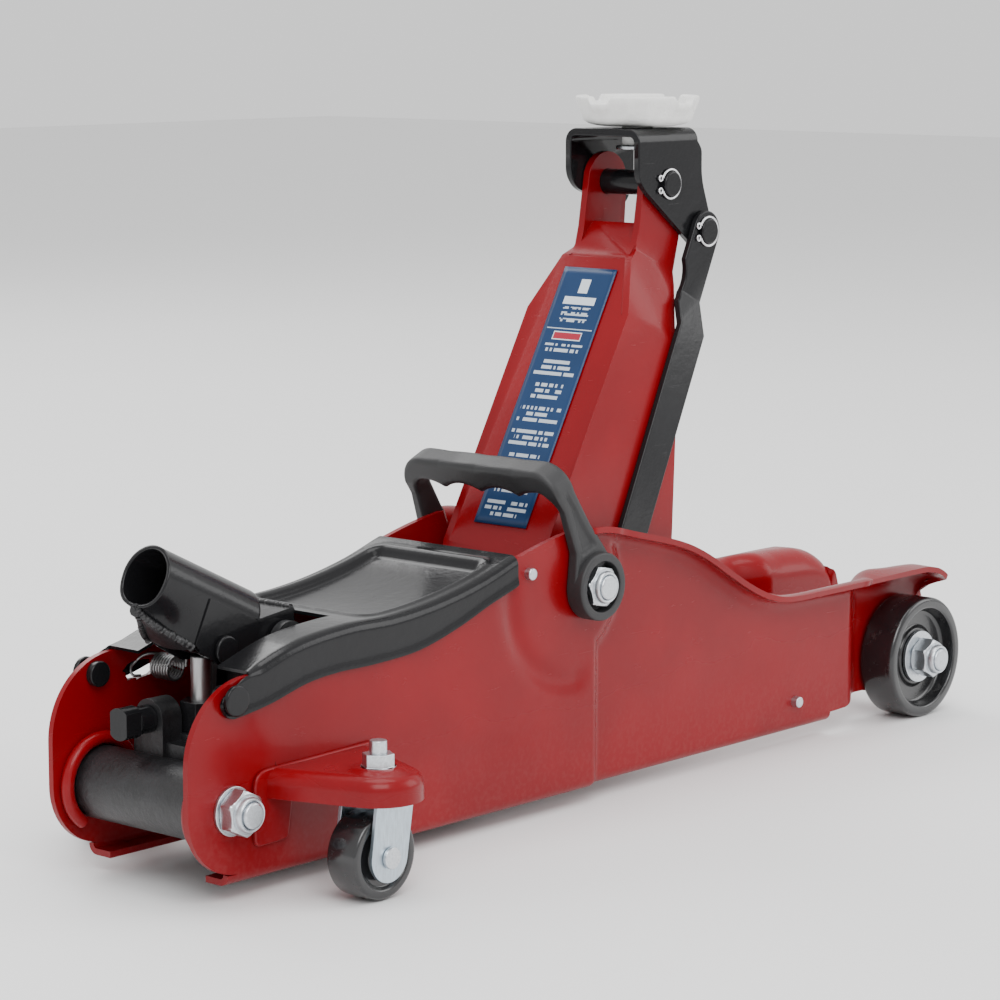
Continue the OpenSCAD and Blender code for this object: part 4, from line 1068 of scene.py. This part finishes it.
class JackArm(JackBuilder):
    """Finishes the lift arm and its printed panel."""

    bl_idname = "jack.arm"
    bl_label = "Lift arm"

    def execute(self, context):
        refined("lift_arm", self.paint["red"], "arm", 1.3)
        foot, head = panel_ends()
        v, u = np.meshgrid(np.linspace(0, 1, 40), np.linspace(0, 1, 14), indexing="ij")
        run = foot[None, None] * (1 - v[..., None]) + head[None, None] * v[..., None]
        grid = run + np.stack([-0.5 + 0 * u, 17.2 - 34.4 * u, 0.3 + 0 * u], -1)
        make("printed_panel", [strip(grid)], self.paint["print"], "arm",
             ("instruction_panel",), thick=0.3, outward=False, uv=np.stack([u, v], -1))
        return {"FINISHED"}


class JackCastorShelves(JackBuilder):
    """Presses the castor shelves with their back plates and finishes the trunnion rings."""

    bl_idname = "jack.castor_shelves"
    bl_label = "Castor shelves"

    def execute(self, context):
        shelf = castor_shelf()
        plate = prism(castor_plate(), -REAR_HALF, -REAR_HALF - 2.4)
        for side, part in (("right", shelf), ("left", mirrored(shelf))):
            make("castor_shelf_" + side, [part], self.paint["red"], "chassis",
                 ("castor_bracket_" + side,), thick=2.5, bevel=0.6, outward=False, sharp=50)
        for side, part in (("right", plate), ("left", mirrored(plate))):
            make("castor_plate_" + side, [part], self.paint["red"], "chassis",
                 bevel=0.9, sharp=30)
            refined("trunnion_ring_" + side, self.paint["red"], "chassis", 0)
        return {"FINISHED"}


class JackSaddle(JackBuilder):
    """Casts the saddle and finishes its bracket, the parallel link, pins, clips and roller."""

    bl_idname = "jack.saddle"
    bl_label = "Saddle and link"

    def execute(self, context):
        make("saddle_pad", [saddle_pad()], self.paint["pale"], "saddle", ("saddle",),
             sharp=50)
        refined("saddle_screw", self.paint["zinc"], "saddle", 0.5)
        make("saddle_yoke", saddle_bracket(), self.paint["black"], "bracket",
             ("saddle_bracket",), bevel=0.7, sharp=32)
        refined("link_pin", self.paint["black"], "bracket", 0.8)
        low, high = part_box("link_clip")
        make("link_circlip", circlip(LINK_PIN[0], LINK_PIN[2], (low[1] + high[1]) / 2 / MM, 1),
             self.paint["clip"], "bracket", ("link_clip",), sharp=60)
        refined("link_bar", self.paint["black"], "link", 0.8)
        refined("arm_pin", self.paint["black"], "arm", 1.0)
        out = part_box("pin_clips")[1][1] / MM - 0.55
        make("arm_circlips", circlip(PIN[0], PIN[2], out, -1) + circlip(PIN[0], PIN[2], out, 1),
             self.paint["clip"], "arm", ("pin_clips",), sharp=60)
        refined("ram_roller", self.paint["steel"], "arm", 0.5)
        return {"FINISHED"}


class JackSocket(JackBuilder):
    """Rolls the pump handle's socket and finishes its pins, plunger, spring and welds."""

    bl_idname = "jack.socket"
    bl_label = "Handle socket"

    def execute(self, context):
        black = self.paint["black"]
        make("socket_body", [socket_shell()], black, "socket", ("handle_socket",),
             thick=1.8, sharp=50)
        cheek = prism(socket_cheek(), -CHEEK_OUT, -CHEEK_IN)
        bridge = on_socket(np.array([60, 79.6, 81.6, 63]), np.array([1.0, 13.7, 12.2, -1.4]), 0.0)
        front = prism(fillet(bridge[:, [0, 2]], 0.8, 4), -15.5, 15.5)
        make("socket_cheeks", [cheek, mirrored(cheek), front], black, "socket",
             bevel=0.6, sharp=32)
        refined("socket_pin", black, "socket", 0.9)
        refined("socket_pivot_pin", black, "chassis", 0.9)
        refined("pump_plunger", self.paint["steel"], "plunger", 0.8)
        make("return_coil", [coil_spring(self.sizes.coils)], self.paint["steel"], "chassis",
             ("return_spring",), sharp=60)
        seam = np.linspace(0, 1, 40)
        down = 1 + 27 * seam
        low = np.interp(down, *SEAM)
        beads = [bead(on_socket(down, low, s * (1.2 + 13.4 * step(down, 1, 30))), 1.7, seed=5 + s)
                 for s in (-1, 1)]
        beads.append(bead(on_socket(0.6 + 5 * seam, -15.6 - 1.2 * seam, 0.0), 2.7, seed=9))
        lip = np.linspace(-14, 14, 40)
        beads.append(bead(on_socket(79.8 + 0 * lip, 13.4 + 0 * lip, lip), 1.4, seed=11,
                          up=(0, 0, 1)))
        d = np.linspace(1, 29, 30)[:, None]
        side = np.linspace(-1, 1, 15)[None, :]
        wide = 0.6 + 13.2 * step(d, 1, 30)
        low = np.interp(d, *SEAM) - 1.6 * (1 - side ** 2)
        beads.append(strip(on_socket(d + 0 * side, low, side * wide)))
        make("socket_welds", beads, self.paint["cast"], "socket", sharp=70)
        return {"FINISHED"}


class JackCarryHandle(JackBuilder):
    """Moulds the carry handle with its finger dips, sunk legs and bosses."""

    bl_idname = "jack.carry_handle"
    bl_label = "Carry handle"

    def execute(self, context):
        ring = fillet([(8.2, 46.8), (17, 46.8), (17, 57), (12.6, 57), (12.6, 49.8), (8.2, 49.8)],
                      [0.4, 1.2, 1.4, 0.8, 0.5, 0.3], 5)
        boss = turned(ring, (0, 0, PIVOT_Z), 120)
        make("carry_grip", [carry_grip(self.sizes.dip)], self.paint["plastic"], "carry_handle",
             ("carry_handle",), sharp=55)
        make("carry_bosses", [boss, mirrored(boss)], self.paint["plastic"], "carry_handle",
             sharp=40)
        return {"FINISHED"}


class JackWheels(JackBuilder):
    """Turns the front wheels and the castor wheels."""

    bl_idname = "jack.wheels"
    bl_label = "Wheels"

    def execute(self, context):
        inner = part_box("front_wheel_left")[0][1] / MM
        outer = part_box("front_wheel_left")[1][1] / MM
        r = FRONT_AXLE[2]
        front = fillet([(8.1, inner), (14, inner), (14.6, inner + 4), (24.6, inner + 4),
                        (25.6, inner), (r, inner), (r, outer), (27.6, outer),
                        (26.2, outer - 8.2), (17.2, outer - 8.8), (15.8, outer - 6.5),
                        (8.1, outer - 6.5)],
                       [0.3, 0.8, 1.2, 1.2, 0.8, 3.4, 3.4, 1.4, 2.2, 1.6, 0.8, 0.3], 9)
        left = turned(front, (FRONT_AXLE[0], 0, r), 160)
        for side, part in (("left", left), ("right", mirrored(left))):
            make("front_tyre_" + side, [part], self.paint["wheel"], "front_wheel_" + side,
                 ("front_wheel_" + side,), sharp=40)
        low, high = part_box("castor_wheel_left")
        w, c = (high[1] - low[1]) / MM / 2, CASTOR_AXLE[2]
        castor = fillet([(4.1, -w + 0.3), (8.6, -w + 0.3), (9.6, -w + 2), (13.8, -w + 2),
                         (15.6, -w), (c - 0.9, -w), (c, 0), (c - 0.9, w), (15.6, w),
                         (13.8, w - 2), (9.6, w - 2), (8.6, w - 0.3), (4.1, w - 0.3)],
                        [0.2, 0.6, 0.8, 0.8, 0.8, 3.6, 9, 3.6, 0.8, 0.8, 0.8, 0.6, 0.2], 9)
        for side, s in (("left", 1), ("right", -1)):
            part = turned(castor, (CASTOR_AXLE[0], s * CASTOR_Y, c), 128)
            make("castor_tyre_" + side, [part], self.paint["wheel"], "castor_wheel_" + side,
                 ("castor_wheel_" + side,), sharp=40)
            refined("castor_fork_" + side, self.paint["fork"], "castor_" + side, 0.45)
            refined("castor_axle_" + side, self.paint["zinc"], "castor_" + side, 0.7)
        return {"FINISHED"}


class JackFasteners(JackBuilder):
    """Forges the locking nuts and finishes studs, shafts, washers and the ram."""

    bl_idname = "jack.fasteners"
    bl_label = "Fasteners"

    def execute(self, context):
        wheel_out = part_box("front_wheel_left")[1][1] / MM
        axle_x, axle_z = FRONT_AXLE[0], FRONT_AXLE[2]
        nuts = []
        for one in (nut(TRUNNION[0], TRUNNION[2], 47.9, 59.4, 0.45),
                    nut(0, PIVOT_Z, 50.1, 60.1, 0.2),
                    nut(axle_x, axle_z, wheel_out - 4, wheel_out + 9.5, 0.5)):
            nuts += [one, mirrored(one)]
        make("locking_nuts", nuts, self.paint["zinc"], "chassis", ("hex_nuts",),
             sharp=24, bevel=0.15)
        for node, width in (("trunnion_studs", 1.2), ("washers", 0.4), ("castor_studs", 0.5),
                            ("stub_pins", 0.8), ("cross_rod", 0.9), ("axle_sleeves", 0.4)):
            refined(node, self.paint["zinc"], "chassis", width)
        for node, paint, width in (("main_shaft", "zinc", 1.2), ("front_axle", "zinc", 1.2),
                                   ("ram_cylinder", "steel", 0.6), ("link_anchor", "zinc", 0.5)):
            refined(node, self.paint[paint], "chassis", width)
        refined("ram", self.paint["steel"], "ram", 0.7)
        refined("ram_seal", self.paint["rubber"], "ram", 0.3)
        return {"FINISHED"}


class JackPowerUnit(JackBuilder):
    """Finishes the power unit's castings, tube, pump barrel and release valve."""

    bl_idname = "jack.power_unit"
    bl_label = "Power unit"

    def execute(self, context):
        refined("power_unit_block", self.paint["cast"], "chassis", 1.6)
        for node, width in (("reservoir_tube", 0.6), ("end_gland", 0.8), ("pump_barrel", 0.9)):
            refined(node, self.paint["black"], "chassis", width)
        refined("filler_plug", self.paint["rubber"], "chassis", 0.6)
        refined("release_valve", self.paint["black"], "valve", 1.0)
        return {"FINISHED"}


class JackStage(JackBuilder):
    """Sets the pale floor, the soft lights and the camera."""

    bl_idname = "jack.stage"
    bl_label = "Stage"

    def execute(self, context):
        half = self.sizes.floor / 2
        mesh = bpy.data.meshes.new("floor")
        mesh.from_pydata([(-half, -half, 0), (half, -half, 0), (half, half, 0), (-half, half, 0)],
                         [], [(0, 1, 2, 3)])
        mesh.materials.append(plain_floor("pale_floor", (0.86, 0.86, 0.86)))
        floor = bpy.data.objects.new("floor", mesh)
        context.scene.collection.objects.link(floor)
        world = bpy.data.worlds.new("studio")
        world.use_nodes = True
        world.node_tree.nodes["Background"].inputs[0].default_value = (1, 1, 1, 1)
        world.node_tree.nodes["Background"].inputs[1].default_value = 1.05
        context.scene.world = world
        for name, place, size, power in (
                ("key", (-1.5, -1.7, 2.2), 1.8, 60), ("fill", (1.9, -1.6, 1.3), 1.6, 22),
                ("rim", (0.6, 2.2, 1.9), 1.6, 30), ("top", (0.0, 0.0, 2.6), 1.6, 30)):
            light = bpy.data.lights.new(name, "AREA")
            light.size, light.energy = size, power
            lamp = bpy.data.objects.new(name, light)
            lamp.location = place
            lamp.rotation_euler = (Vector((0, 0, 0.12)) - Vector(place)).to_track_quat(
                "-Z", "Y").to_euler()
            context.scene.collection.objects.link(lamp)
        lens = bpy.data.cameras.new("camera")
        lens.lens, lens.sensor_width = 120.2, 36.0
        camera = bpy.data.objects.new("camera", lens)
        camera.location = (-1.2704, -1.0889, 0.3978)
        ahead = Vector((0.7412, 0.6547, -0.1484))
        camera.rotation_euler = ahead.to_track_quat("-Z", "Y").to_euler()
        context.scene.collection.objects.link(camera)
        context.scene.camera = camera
        return {"FINISHED"}


class JackPanel(bpy.types.Panel):
    """Lists the jack's settings and steps in the sidebar."""

    bl_idname = "VIEW3D_PT_jack"
    bl_label = "Trolley jack"
    bl_space_type = "VIEW_3D"
    bl_region_type = "UI"
    bl_category = "Jack"

    def draw(self, context):
        """Every setting, then a button for each step."""
        for settings in (context.scene.jack_finish, context.scene.jack_sizes):
            for key in settings.bl_rna.properties.keys():
                if key not in ("rna_type", "name"):
                    self.layout.prop(settings, key)
        for kind in OPERATORS:
            self.layout.operator(kind.bl_idname)


SETTINGS = [JackFinishSettings, JackSizeSettings]
OPERATORS = [JackSidePlates, JackCover, JackCastorShelves, JackPowerUnit, JackFasteners, JackArm,
             JackSaddle, JackSocket, JackCarryHandle, JackWheels, JackStage]
CLASSES = SETTINGS + OPERATORS + [JackPanel]


def register():
    """Adds the settings, steps and panel."""
    for kind in CLASSES:
        bpy.utils.register_class(kind)
    bpy.types.Scene.jack_finish = bpy.props.PointerProperty(type=JackFinishSettings)
    bpy.types.Scene.jack_sizes = bpy.props.PointerProperty(type=JackSizeSettings)


def unregister():
    """Takes them away again."""
    del bpy.types.Scene.jack_finish, bpy.types.Scene.jack_sizes
    for kind in reversed(CLASSES):
        bpy.utils.unregister_class(kind)


def main():
    """Runs every step."""
    register()
    bpy.ops.jack.side_plates()
    bpy.ops.jack.cover()
    bpy.ops.jack.castor_shelves()
    bpy.ops.jack.power_unit()
    bpy.ops.jack.fasteners()
    bpy.ops.jack.arm()
    bpy.ops.jack.saddle()
    bpy.ops.jack.socket()
    bpy.ops.jack.carry_handle()
    bpy.ops.jack.wheels()
    bpy.ops.jack.stage()


if __name__ == "__main__":
    main()
